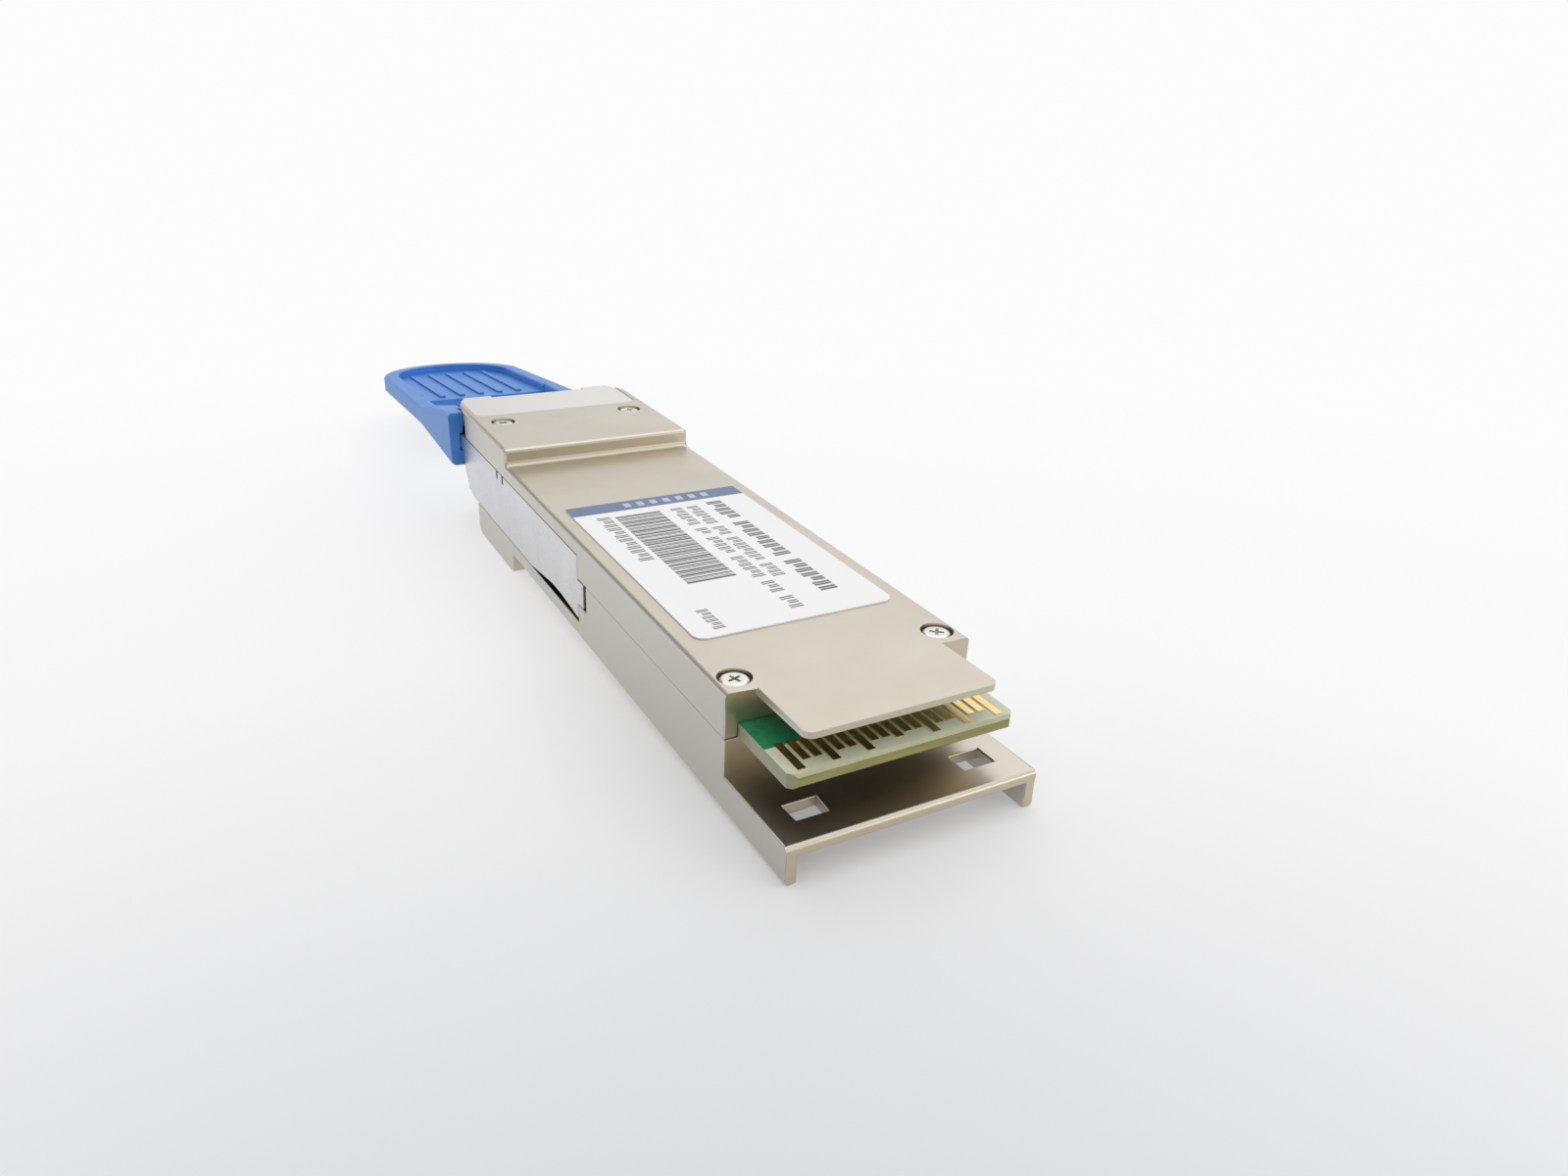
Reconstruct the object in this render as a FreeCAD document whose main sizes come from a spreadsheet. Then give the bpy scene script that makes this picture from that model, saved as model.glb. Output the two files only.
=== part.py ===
import FreeCAD, Part
import math
import os
import re
import Sketcher

# Pluggable optical transceiver module with a card edge at one end and two fibre ports at the other.
# Millimetres. X runs across the module, Y from the card-edge end to the pull tab, Z up through the cover.
# The origin is at the card-edge end, in the middle of the width, on the bottom plane of the body.

# Driving sizes, in the order in which the pieces are built.
SIZES = {
    # outer envelope of the two shells
    "half_width": 9.175,
    "body_height": 8.5,
    "body_length": 72.4,
    "cover_depth": 3.25,
    "side_wall": 0.8,
    "floor_wall": 1.2,
    "cover_wall": 1.0,
    "end_wall": 1.0,
    "shell_start": 8.05,
    "shell_round": 0.35,
    # plate under the card edge
    "plate_top": 2.65,
    "plate_thick": 0.8,
    "plate_edge_round": 0.35,
    "leg_width": 0.8,
    "hold_hole_inset": 2.975,
    "hold_hole_y": 2.95,
    "hold_hole_width": 2.3,
    "hold_hole_length": 1.7,
    # tongue of the cover over the card edge
    "tongue_inset": 2.175,
    "tongue_start": 2.1,
    "tongue_thick": 0.45,
    "tongue_corner": 0.7,
    # raised head at the fibre end, and the belly under it
    "head_length": 18.9,
    "head_rise": 1.6,
    "head_wall": 1.0,
    "head_foot_round": 0.5,
    "front_length": 8.2,
    "front_inset": 1.175,
    "shoulder_round": 0.6,
    "cover_front_length": 5.0,
    "flange_thick": 0.5,
    "front_corner": 1.3,
    "front_step": 0.1,
    "zone_length": 7.6,
    "zone_margin": 0.7,
    "zone_corner": 0.9,
    "relief_half": 5.0,
    "relief_depth": 0.6,
    "belly_lead": 1.1,
    "belly_length": 11.7,
    "belly_drop": 1.65,
    "belly_round": 1.0,
    "belly_near_round": 0.5,
    "belly_ledge": 2.425,
    # cover screws
    "near_screw_inset": 1.475,
    "near_screw_lead": 1.68,
    "far_screw_inset": 2.575,
    "far_screw_back": 1.85,
    "screw_head_radius": 1.02,
    "screw_head_height": 0.55,
    "screw_radius": 0.7,
    "screw_grip": 3.0,
    "screw_end_gap": 0.2,
    "screw_clearance": 0.03,
    "counterbore_radius": 1.15,
    "counterbore_depth": 0.65,
    "boss_radius": 1.3,
    # circuit board and its contacts
    "board_start": 1.57,
    "board_thick": 1.0,
    "board_corner": 0.5,
    "board_bevel": 0.2,
    "board_side_gap": 0.165,
    "board_clearance": 0.1,
    "board_post_inset": 1.475,
    "board_post_back": 3.4,
    "board_post_radius": 1.0,
    "contact_pitch": 0.8,
    "contact_width": 0.54,
    "contact_thick": 0.05,
    "contact_reach": 3.43,
    "ground_tip": 0.45,
    "power_tip": 0.95,
    "signal_tip": 1.25,
    # release arms and their recesses
    "arm_thick": 0.45,
    "arm_gap": 0.3,
    "arm_edge_gap": 0.06,
    "arm_end_gap": 0.08,
    "arm_start": 34.4,
    "arm_low": 1.46,
    "arm_near_low": 1.72,
    "arm_arch_low": 2.1,
    "arm_arch_start": 4.2,
    "arm_arch_end": 6.4,
    "arm_ramp": 5.8,
    "arm_drop": 1.3,
    "arm_lead": 1.0,
    "arm_corner": 3.6,
    "notch_lead": 1.0,
    "notch_length": 1.9,
    "notch_depth": 0.75,
    "slit_width": 0.2,
    "tip_length": 1.2,
    "tip_room": 0.7,
    "tip_low": 3.05,
    "tip_gap": 0.12,
    "lug_lead": 1.5,
    "lug_gap": 0.4,
    "lug_length": 1.6,
    "insert_length": 7.0,
    "insert_height": 1.5,
    "insert_margin": 0.2,
    "release_travel": 2.2,
    # return springs
    "spring_radius": 0.6,
    "spring_wire": 0.25,
    "spring_length": 4.0,
    "spring_side_gap": 0.1,
    "spring_wall": 0.5,
    # pull tab
    "tab_overhang": 1.225,
    "tab_overlap": 2.8,
    "tab_gap": 0.5,
    "tab_round": 0.45,
    "tab_bevel": 0.35,
    "post_low": 3.65,
    "post_gap": 0.3,
    "post_fall": 1.1,
    "post_length": 6.7,
    "strap_length": 16.4,
    "strap_inset": 1.475,
    "grip_length": 32.5,
    "grip_drop": 3.2,
    "rim_top": 5.65,
    "crown_half": 9.05,
    "rim_width": 1.9,
    "rim_height": 2.2,
    "recess_depth": 0.9,
    "floor_lag": 8.0,
    "rib_pitch": 2.4,
    "rib_width": 0.6,
    "rib_height": 0.25,
    "rib_margin": 1.6,
    # fibre ports
    "fibre_pitch": 6.25,
    "fibre_height": 4.35,
    "receptacle_gap": 0.1,
    "receptacle_length": 8.1,
    "receptacle_inset": 0.4,
    "receptacle_rear_wall": 1.0,
    "port_width": 4.7,
    "port_height": 4.8,
    "latch_width": 3.4,
    "catch_width": 2.4,
    "catch_length": 1.4,
    # optical boxes, their barrels and the cradle
    "package_length": 9.5,
    "package_width": 6.0,
    "package_headroom": 0.8,
    "package_lid": 0.4,
    "package_lid_inset": 0.35,
    "thermal_thick": 0.5,
    "flange_radius": 2.3,
    "flange_length": 1.6,
    "neck_radius": 1.75,
    "neck_length": 2.0,
    "nose_radius": 1.2,
    "nose_reach": 4.0,
    "ferrule_radius": 0.63,
    "ferrule_depth": 6.0,
    "cradle_gap": 0.1,
    "cradle_slot_gap": 0.05,
    "cradle_rise": 1.6,
    # flexible circuits
    "flex_thick": 0.15,
    "flex_width": 4.6,
    "flex_overlap": 2.0,
    "flex_span": 2.0,
    # chips and small parts on the board
    "chip_size": 5.2,
    "chip_height": 0.85,
    "chip_x": 3.3,
    "chip_y": 26.2,
    "chip_bevel": 0.15,
    "controller_size": 4.0,
    "controller_height": 0.8,
    "controller_y": 17.6,
    "inductor_pitch": 4.4,
    "inductor_y": 13.4,
    "inductor_size": 2.5,
    "inductor_height": 1.0,
    "capacitor_length": 1.0,
    "capacitor_width": 0.5,
    "capacitor_height": 0.5,
    "capacitor_pitch": 1.6,
    "capacitor_y": 20.3,
    # label on the cover
    "label_inset": 1.375,
    "label_start": 14.96,
    "label_length": 25.85,
    "label_thick": 0.1,
    "label_near_corner": 0.9,
    "label_far_corner": 0.12,
}

# Places and levels that follow from those sizes.
PLACES = {
    # levels of the shells
    "split_height": "body_height - cover_depth",
    "cover_underside": "body_height - cover_wall",
    "head_top": "body_height + head_rise",
    "head_underside": "head_top - head_wall",
    "front_underside": "head_underside - front_step",
    "flange_low": "head_top - flange_thick",
    "board_top": "split_height + board_thick",
    # stations along the shells
    "head_start": "body_length - head_length",
    "shoulder_start": "body_length - front_length",
    "cover_shoulder": "body_length - cover_front_length",
    "zone_start": "body_length - zone_length",
    "belly_start": "head_start - belly_lead",
    "belly_end": "belly_start + belly_length",
    "wall_step": "arm_start - tip_length - tip_room - side_wall",
    # half widths of the shells
    "near_inner": "half_width - side_wall",
    "recess_floor": "half_width - arm_thick - arm_gap",
    "far_inner": "recess_floor - side_wall",
    "front_half": "half_width - front_inset",
    "front_inner": "front_half - side_wall",
    "tongue_half": "half_width - tongue_inset",
    "label_half": "half_width - label_inset",
    # screws, board and board posts
    "near_screw_x": "half_width - near_screw_inset",
    "near_screw_y": "shell_start + near_screw_lead",
    "far_screw_x": "half_width - far_screw_inset",
    "far_screw_y": "shoulder_start - far_screw_back",
    "board_half": "near_inner - board_side_gap",
    "board_inner_half": "far_inner - 2 * board_side_gap",
    "board_end": "package_start - flex_span",
    "board_post_x": "near_inner - board_post_inset",
    "board_post_y": "wall_step - board_post_back",
    # release arms and springs
    "arm_inner": "half_width - arm_thick",
    "arm_high": "body_height - arm_drop",
    "notch_start": "head_start + notch_lead",
    "notch_end": "notch_start + notch_length",
    "notch_bottom": "arm_high - notch_depth",
    "tip_high": "split_height - tip_gap",
    "insert_high": "arm_high - insert_margin",
    "insert_low": "insert_high - insert_height",
    "lug_start": "head_start + lug_lead",
    "lug_end": "lug_start + lug_length",
    "spring_x": "recess_floor - spring_side_gap - spring_radius",
    "spring_z": "split_height",
    "spring_room": "spring_radius + spring_side_gap",
    "spring_inner": "spring_x - spring_room",
    "spring_block": "spring_inner - spring_wall",
    "spring_start": "lug_start - lug_gap",
    "spring_end": "lug_end + spring_length",
    # pull tab
    "post_high": "flange_low - post_gap",
    "tab_half": "half_width + tab_overhang",
    "tab_start": "body_length - tab_overlap",
    "arm_end": "tab_start - arm_lead",
    "post_back": "tab_start + post_length",
    "grip_start": "tab_start + strap_length",
    "floor_start": "grip_start + floor_lag",
    "gap_half": "half_width - strap_inset",
    # fibre ports and optics
    "receptacle_half": "front_inner - receptacle_gap",
    "receptacle_front": "body_length - receptacle_inset",
    "receptacle_start": "receptacle_front - receptacle_length",
    "port_low": "fibre_height - port_height / 2",
    "port_high": "fibre_height + port_height / 2",
    "package_start": "head_start - package_length",
    "package_low": "floor_wall + thermal_thick",
    "package_high": "cover_underside - package_headroom",
    "neck_start": "head_start + flange_length",
    "neck_end": "neck_start + neck_length",
    "nose_end": "receptacle_start + nose_reach",
    "cradle_half": "spring_block - cradle_gap",
}
SIDES = (-1, 1)
WORDS = ("left", "right")
PAST = "5"

doc = FreeCAD.newDocument("transceiver")
sheet = doc.addObject("Spreadsheet::Sheet", "Sizes")
for row, (alias, value) in enumerate(SIZES.items(), start=1):
    sheet.set(f"A{row}", alias)
    sheet.set(f"B{row}", str(value))
    sheet.setAlias(f"B{row}", alias)
doc.recompute()


def bound(formula):
    """A formula in the names above, as an expression that any object of the document reads."""

    def cell(match):
        name = match[0]
        if name in PLACES:
            return f"({bound(PLACES[name])})"
        return f"Sizes.{name}" if name in SIZES else name

    return re.sub(r"[a-z][a-z_]*", cell, formula)


def size(formula):
    """The present value of a formula that only adds and subtracts names and numbers."""
    total = 0.0
    for sign, term in re.findall(r"([+-]?)\s*([a-z_]+|[0-9.]+)", formula):
        if term in PLACES:
            value = size(PLACES[term])
        else:
            value = sheet.get(term) if term in SIZES else float(term)
        total += -value if sign == "-" else value
    return total


def bind(item, **formulas):
    """Bind properties of an object to formulas. A double underscore in a name stands for a dot."""
    for name, formula in formulas.items():
        item.setExpression(name.replace("__", "."), bound(formula))


def signed(side, formula):
    """The formula on the right side of the module, or its opposite on the left side."""
    return formula if side > 0 else f"-({formula})"


def near(value, goal):
    return abs(value - goal) < 1e-4


def new_body(label):
    return doc.addObject("PartDesign::Body", label)


def new_sketch(body, name, plane, offset="0"):
    """An empty sketch on one of the body's own planes, moved along the plane's normal."""
    sketch = body.newObject("Sketcher::SketchObject", name)
    support = [feature for feature in body.Origin.OriginFeatures if feature.Role == plane][0]
    sketch.AttachmentSupport = [(support, "")]
    sketch.MapMode = "FlatFace"
    bind(sketch, AttachmentOffset__Base__z=offset)
    return sketch


def place_point(sketch, curve, end, across, up, guess=(1.0, 1.0)):
    """Tie one point of a curve to the sketch's origin by two distances."""
    for kind, formula, value in (("DistanceX", across, guess[0]), ("DistanceY", up, guess[1])):
        number = sketch.addConstraint(Sketcher.Constraint(kind, -1, 1, curve, end, value))
        sketch.setExpression(f"Constraints[{number}]", bound(formula))


def draw_outline(sketch, corners):
    """A closed outline of straight lines through corners that are pairs of formulas."""
    first = sketch.GeometryCount
    count = len(corners)
    turns = [2 * math.pi * index / count for index in range(count)]
    start = [FreeCAD.Vector(math.cos(turn), math.sin(turn), 0) for turn in turns]
    for index in range(count):
        sketch.addGeometry(Part.LineSegment(start[index], start[(index + 1) % count]))
    joins = []
    for index in range(count):
        joins.append(Sketcher.Constraint("Coincident", first + index, 2, first + (index + 1) % count, 1))
    sketch.addConstraint(joins)
    for index, (across, up) in enumerate(corners):
        place_point(sketch, first + index, 1, across, up)


def draw_box(sketch, across, up):
    """A rectangle between two pairs of formulas."""
    (left, right), (low, high) = across, up
    draw_outline(sketch, [(left, low), (right, low), (right, high), (left, high)])


def draw_circle(sketch, across, up, radius):
    circle = sketch.addGeometry(Part.Circle(FreeCAD.Vector(1, 1, 0), FreeCAD.Vector(0, 0, 1), 1.0))
    place_point(sketch, circle, 3, across, up)
    number = sketch.addConstraint(Sketcher.Constraint("Radius", circle, 1.0))
    sketch.setExpression(f"Constraints[{number}]", bound(radius))


def draw_round_end(sketch, half, start, crown, centre):
    """A strip that narrows from a straight near end to a half-round far end about the middle line."""
    wide, far, low, high = size(half), size(crown), size(start), size(centre)
    near_right = FreeCAD.Vector(wide, low, 0)
    far_right = FreeCAD.Vector(far, high, 0)
    far_left = FreeCAD.Vector(-far, high, 0)
    near_left = FreeCAD.Vector(-wide, low, 0)
    right = sketch.addGeometry(Part.LineSegment(near_right, far_right))
    cap = sketch.addGeometry(Part.Arc(far_right, FreeCAD.Vector(0, high + far, 0), far_left))
    left = sketch.addGeometry(Part.LineSegment(far_left, near_left))
    foot = sketch.addGeometry(Part.LineSegment(near_left, near_right))
    loop = (right, cap, left, foot)
    for first, second in zip(loop, loop[1:] + loop[:1]):
        sketch.addConstraint(Sketcher.Constraint("Coincident", first, 2, second, 1))
    place_point(sketch, right, 1, half, start, (wide, low))
    place_point(sketch, right, 2, crown, centre, (far, high))
    place_point(sketch, left, 1, f"-({crown})", centre, (-far, high))
    place_point(sketch, left, 2, f"-({half})", start, (-wide, low))
    number = sketch.addConstraint(Sketcher.Constraint("DistanceY", -1, 1, cap, 3, high))
    sketch.setExpression(f"Constraints[{number}]", bound(centre))


def mirrored(corners):
    """An outline given by its right half from one end to the other, closed by its mirror image."""
    return corners + [(f"-({across})", along) for across, along in reversed(corners)]


def pad(body, sketch, length, back=False):
    feature = body.newObject("PartDesign::Pad", f"{sketch.Name}_pad")
    feature.Profile = sketch
    feature.Reversed = back
    bind(feature, Length=length)
    doc.recompute()
    return feature


def pocket(body, sketch, depth, back=False):
    """A cut against the sketch's normal, or along it; one that removes nothing is an error."""
    before = body.Tip.Shape.Volume
    feature = body.newObject("PartDesign::Pocket", f"{sketch.Name}_pocket")
    feature.Profile = sketch
    feature.Reversed = back
    bind(feature, Length=depth)
    doc.recompute()
    if feature.Shape.Volume > before * (1 - 1e-6):
        raise ValueError(f"{feature.Name} removes nothing")
    return feature


def edges_at(shape, axis, test):
    """Names of the straight edges that run along an axis and whose two end points both pass a test."""
    names = []
    for number, edge in enumerate(shape.Edges, start=1):
        ends = [vertex.Point for vertex in edge.Vertexes]
        if len(ends) != 2 or not all(test(point) for point in ends):
            continue
        span = ends[1] - ends[0]
        if abs(getattr(span, axis)) > 0.999 * span.Length:
            names.append(f"Edge{number}")
    return names


def soften(body, kind, names, size_name, formula):
    """A fillet or a chamfer along named edges of the body's last feature."""
    last = body.Tip
    feature = body.newObject(f"PartDesign::{kind}", f"{body.Name}_{kind.lower()}")
    feature.Base = (last, names)
    bind(feature, **{size_name: formula})
    doc.recompute()
    if feature.Shape.isNull():
        raise ValueError(f"{feature.Name} fails on {names}")
    return feature


def box(label, across, along, up):
    """A plain block between pairs of formulas."""
    item = doc.addObject("Part::Box", label)
    for length, axis, (low, high) in zip(("Length", "Width", "Height"), "xyz", (across, along, up)):
        bind(item, **{length: f"({high}) - ({low})", f"Placement__Base__{axis}": low})
    return item


def about(middle, width):
    """The two ends of a width about its middle."""
    return (f"{middle} - {width} / 2", f"{middle} + {width} / 2")


def group(label, members):
    item = doc.addObject("Part::Compound", label)
    item.Links = members
    return item


def side_cut(body, name, corners, depth):
    """The same cut into both sides of a shell, from an outline in the side view."""
    for side, word in zip(SIDES, WORDS):
        sketch = new_sketch(body, f"{word}_{name}", "YZ_Plane", signed(side, "half_width"))
        draw_outline(sketch, corners)
        pocket(body, sketch, depth, back=side < 0)


def shell_inside():
    """Plan of the space inside both shells: wide by the board, narrower behind the arms, open in front."""
    return mirrored([
        ("near_inner", "shell_start + end_wall"),
        ("near_inner", "wall_step"),
        ("far_inner", "wall_step"),
        ("far_inner", "shoulder_start - side_wall"),
        ("front_inner", "shoulder_start - side_wall"),
        ("front_inner", f"body_length + {PAST}"),
    ])


def narrow_front(body, name, start, top):
    """Take both sides off in front of two shoulders, up to a level, where the posts of the pull tab stand."""
    sketch = new_sketch(body, name, "XY_Plane", top)
    for side in SIDES:
        inner, outer = signed(side, "front_half"), signed(side, f"half_width + {PAST}")
        draw_box(sketch, (inner, outer), (start, f"body_length + {PAST}"))
    pocket(body, sketch, f"head_top + belly_drop + 2 * {PAST}")
    corners = edges_at(
        body.Tip.Shape, "z", lambda p: near(p.y, size(start)) and near(abs(p.x), size("front_half"))
    )
    soften(body, "Fillet", corners, "Radius", "shoulder_round")


def spring_blocks(body, name, low, high):
    """The thicker walls inside a shell that the spring pockets are sunk into."""
    sketch = new_sketch(body, name, "XY_Plane", low)
    for side in SIDES:
        draw_box(
            sketch,
            (signed(side, "spring_block"), signed(side, "far_inner")),
            ("spring_start - spring_wall", "spring_end + spring_wall"),
        )
    pad(body, sketch, f"{high} - {low}")


def screw_places():
    """Each screw's place in plan, with the height of the face that its head sinks into."""
    places = []
    for side in SIDES:
        places.append((signed(side, "near_screw_x"), "near_screw_y", "body_height"))
        places.append((signed(side, "far_screw_x"), "far_screw_y", "head_top"))
    return places


# Lower shell: one casting, from the plate under the card edge to the belly under the fibre ports.
base = new_body("base_housing")
outline = new_sketch(base, "base_side", "YZ_Plane", "-half_width")
draw_outline(outline, [
    ("0", "0"),
    ("belly_start", "0"),
    ("belly_start", "-belly_drop"),
    ("belly_end", "-belly_drop"),
    ("belly_end", "0"),
    ("body_length", "0"),
    ("body_length", "split_height"),
    ("shell_start", "split_height"),
    ("shell_start", "plate_top"),
    ("0", "plate_top"),
])
pad(base, outline, "2 * half_width")

# Round edges: the plate's front edge, the belly's two edges and the long lower edges.
plate_front = edges_at(base.Tip.Shape, "x", lambda p: near(p.y, 0) and near(p.z, size("plate_top")))
soften(base, "Fillet", plate_front, "Radius", "plate_edge_round")
belly_far = edges_at(
    base.Tip.Shape, "x", lambda p: near(p.y, size("belly_end")) and near(p.z, -size("belly_drop"))
)
soften(base, "Fillet", belly_far, "Radius", "belly_round")
belly_near = edges_at(
    base.Tip.Shape, "x", lambda p: near(p.y, size("belly_start")) and near(p.z, -size("belly_drop"))
)
soften(base, "Fillet", belly_near, "Radius", "belly_near_round")
lower_long = edges_at(
    base.Tip.Shape,
    "y",
    lambda p: near(abs(p.x), size("half_width")) and near(p.z, 0) and p.y < size("belly_start") + 1,
)
soften(base, "Fillet", lower_long, "Radius", "shell_round")

tray = new_sketch(base, "base_tray", "XY_Plane", "split_height")
draw_outline(tray, shell_inside())
pocket(base, tray, "split_height - floor_wall")

core = new_sketch(base, "belly_core", "XY_Plane", "floor_wall")
draw_box(
    core,
    ("-(far_inner - belly_ledge)", "far_inner - belly_ledge"),
    ("belly_start + floor_wall", "belly_end - belly_round - floor_wall"),
)
pocket(base, core, "belly_drop")

channel = new_sketch(base, "plate_channel", "XY_Plane")
draw_box(channel, ("-(half_width - leg_width)", "half_width - leg_width"), (f"-{PAST}", "shell_start"))
pocket(base, channel, "plate_top - plate_thick", back=True)

holes = new_sketch(base, "hold_down_holes", "XY_Plane", "plate_top")
for side in SIDES:
    middle = signed(side, "half_width - hold_hole_inset")
    draw_box(holes, about(middle, "hold_hole_width"), about("hold_hole_y", "hold_hole_length"))
pocket(base, holes, "plate_thick")

posts = new_sketch(base, "base_posts", "XY_Plane", "floor_wall")
for across, along, top in screw_places():
    draw_circle(posts, across, along, "boss_radius")
for side in SIDES:
    draw_circle(posts, signed(side, "board_post_x"), "board_post_y", "board_post_radius")
pad(base, posts, "split_height - floor_wall")
spring_blocks(base, "base_spring_blocks", "floor_wall", "split_height")

pilots = new_sketch(base, "screw_pilots", "XY_Plane", "split_height")
for across, along, top in screw_places():
    draw_circle(pilots, across, along, "screw_radius + screw_clearance")
pocket(base, pilots, "screw_grip + screw_end_gap")

narrow_front(base, "base_front_sides", "shoulder_start", f"split_height + {PAST}")

side_cut(base, "base_arm_recess", [
    ("arm_start - arm_end_gap", f"split_height + {PAST}"),
    ("arm_start - arm_end_gap", "arm_low - arm_edge_gap"),
    (f"shoulder_start + {PAST}", "arm_low - arm_edge_gap"),
    (f"shoulder_start + {PAST}", f"split_height + {PAST}"),
], "arm_thick + arm_gap")
side_cut(base, "base_tip_pocket", [
    ("arm_start - tip_length - tip_room", "tip_low - arm_end_gap"),
    ("arm_start", "tip_low - arm_end_gap"),
    ("arm_start", f"split_height + {PAST}"),
    ("arm_start - tip_length - tip_room", f"split_height + {PAST}"),
], "arm_thick + arm_gap")
side_cut(base, "base_spring_pocket", [
    ("spring_start", "spring_z - spring_room"),
    ("spring_end", "spring_z - spring_room"),
    ("spring_end", f"split_height + {PAST}"),
    ("spring_start", f"split_height + {PAST}"),
], "half_width - spring_inner")

# Upper shell: one casting with the tongue over the card edge and the raised head.
cover = new_body("top_cover")
outline = new_sketch(cover, "cover_side", "YZ_Plane", "-half_width")
draw_outline(outline, [
    ("shell_start", "split_height"),
    ("body_length", "split_height"),
    ("body_length", "head_top"),
    ("head_start", "head_top"),
    ("head_start", "body_height"),
    ("tongue_start", "body_height"),
    ("tongue_start", "body_height - tongue_thick"),
    ("shell_start", "body_height - tongue_thick"),
])
pad(cover, outline, "2 * half_width")

# Round edges: the foot of the head's step, the head's near edge, the tongue's corners, the long edges.
step_foot = edges_at(
    cover.Tip.Shape, "x", lambda p: near(p.y, size("head_start")) and near(p.z, size("body_height"))
)
soften(cover, "Fillet", step_foot, "Radius", "head_foot_round")
step_top = edges_at(
    cover.Tip.Shape, "x", lambda p: near(p.y, size("head_start")) and near(p.z, size("head_top"))
)
soften(cover, "Fillet", step_top, "Radius", "shell_round")

tongue_sides = new_sketch(cover, "tongue_sides", "XY_Plane", f"body_height + {PAST}")
for side in SIDES:
    inner, outer = signed(side, "tongue_half"), signed(side, f"half_width + {PAST}")
    draw_box(tongue_sides, (inner, outer), (f"-{PAST}", "shell_start"))
pocket(cover, tongue_sides, f"body_height + 2 * {PAST}")
tongue_corners = edges_at(
    cover.Tip.Shape, "z", lambda p: near(p.y, size("tongue_start")) and near(abs(p.x), size("tongue_half"))
)
soften(cover, "Fillet", tongue_corners, "Radius", "tongue_corner")
upper_long = edges_at(
    cover.Tip.Shape,
    "y",
    lambda p: near(abs(p.x), size("half_width"))
    and near(p.z, size("body_height"))
    and p.y < size("head_start"),
)
soften(cover, "Fillet", upper_long, "Radius", "shell_round")

# Front of the head: a thin flange over the posts of the pull tab, with its two corners curved back, and a
# shallow panel sunk into its top.
narrow_front(cover, "cover_front_sides", "cover_shoulder", "flange_low")
front_corners = new_sketch(cover, "front_corners", "XY_Plane", f"head_top + {PAST}")
for side in SIDES:
    draw_outline(front_corners, [
        (signed(side, "half_width"), "cover_shoulder"),
        (signed(side, "half_width - 0.25 * front_corner"), "cover_shoulder + 0.5 * cover_front_length"),
        (signed(side, "half_width - 0.64 * front_corner"), "cover_shoulder + 0.8 * cover_front_length"),
        (signed(side, "half_width - front_corner"), "body_length"),
        (signed(side, "half_width - front_corner"), f"body_length + {PAST}"),
        (signed(side, f"half_width + {PAST}"), f"body_length + {PAST}"),
        (signed(side, f"half_width + {PAST}"), "cover_shoulder"),
    ])
pocket(cover, front_corners, f"flange_thick + {PAST}")
front_zone = new_sketch(cover, "front_zone", "XY_Plane", "head_top")
draw_box(
    front_zone,
    ("-(half_width - zone_margin)", "half_width - zone_margin"),
    ("zone_start", f"body_length + {PAST}"),
)
pocket(cover, front_zone, "front_step")
zone_corners = edges_at(
    cover.Tip.Shape,
    "z",
    lambda p: near(p.y, size("zone_start")) and near(abs(p.x), size("half_width - zone_margin")),
)
soften(cover, "Fillet", zone_corners, "Radius", "zone_corner")

inside = new_sketch(cover, "cover_inside", "XY_Plane", "split_height")
draw_outline(inside, shell_inside())
pocket(cover, inside, "cover_underside - split_height", back=True)

head_inside = new_sketch(cover, "head_inside", "XY_Plane", "split_height")
draw_outline(head_inside, mirrored([
    ("far_inner", "head_start + head_wall"),
    ("far_inner", "shoulder_start - side_wall"),
    ("front_inner", "shoulder_start - side_wall"),
    ("front_inner", f"body_length + {PAST}"),
]))
pocket(cover, head_inside, "front_underside - split_height", back=True)

slot = new_sketch(cover, "board_slot", "XY_Plane", "split_height")
draw_box(
    slot,
    ("-(board_half + board_clearance)", "board_half + board_clearance"),
    (f"shell_start - {PAST}", "shell_start + end_wall"),
)
pocket(cover, slot, "board_thick + board_clearance / 2", back=True)

relief = new_sketch(cover, "latch_relief", "XY_Plane", "head_top")
draw_box(relief, ("-relief_half", "relief_half"), ("body_length - relief_depth", f"body_length + {PAST}"))
pocket(cover, relief, "head_wall + 2 * front_step")

near_bosses = new_sketch(cover, "near_bosses", "XY_Plane", "split_height")
far_bosses = new_sketch(cover, "far_bosses", "XY_Plane", "split_height")
for across, along, top in screw_places():
    draw_circle(near_bosses if top == "body_height" else far_bosses, across, along, "boss_radius")
pad(cover, near_bosses, "cover_underside - split_height")
pad(cover, far_bosses, "head_underside - split_height")
spring_blocks(cover, "cover_spring_blocks", "split_height", "front_underside")

for top in ("body_height", "head_top"):
    shanks = new_sketch(cover, f"{top}_screw_holes", "XY_Plane", top)
    sinks = new_sketch(cover, f"{top}_counterbores", "XY_Plane", top)
    for across, along, face in screw_places():
        if face == top:
            draw_circle(shanks, across, along, "screw_radius + screw_clearance")
            draw_circle(sinks, across, along, "counterbore_radius")
    pocket(cover, shanks, f"{top} - split_height")
    pocket(cover, sinks, "counterbore_depth")

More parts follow.
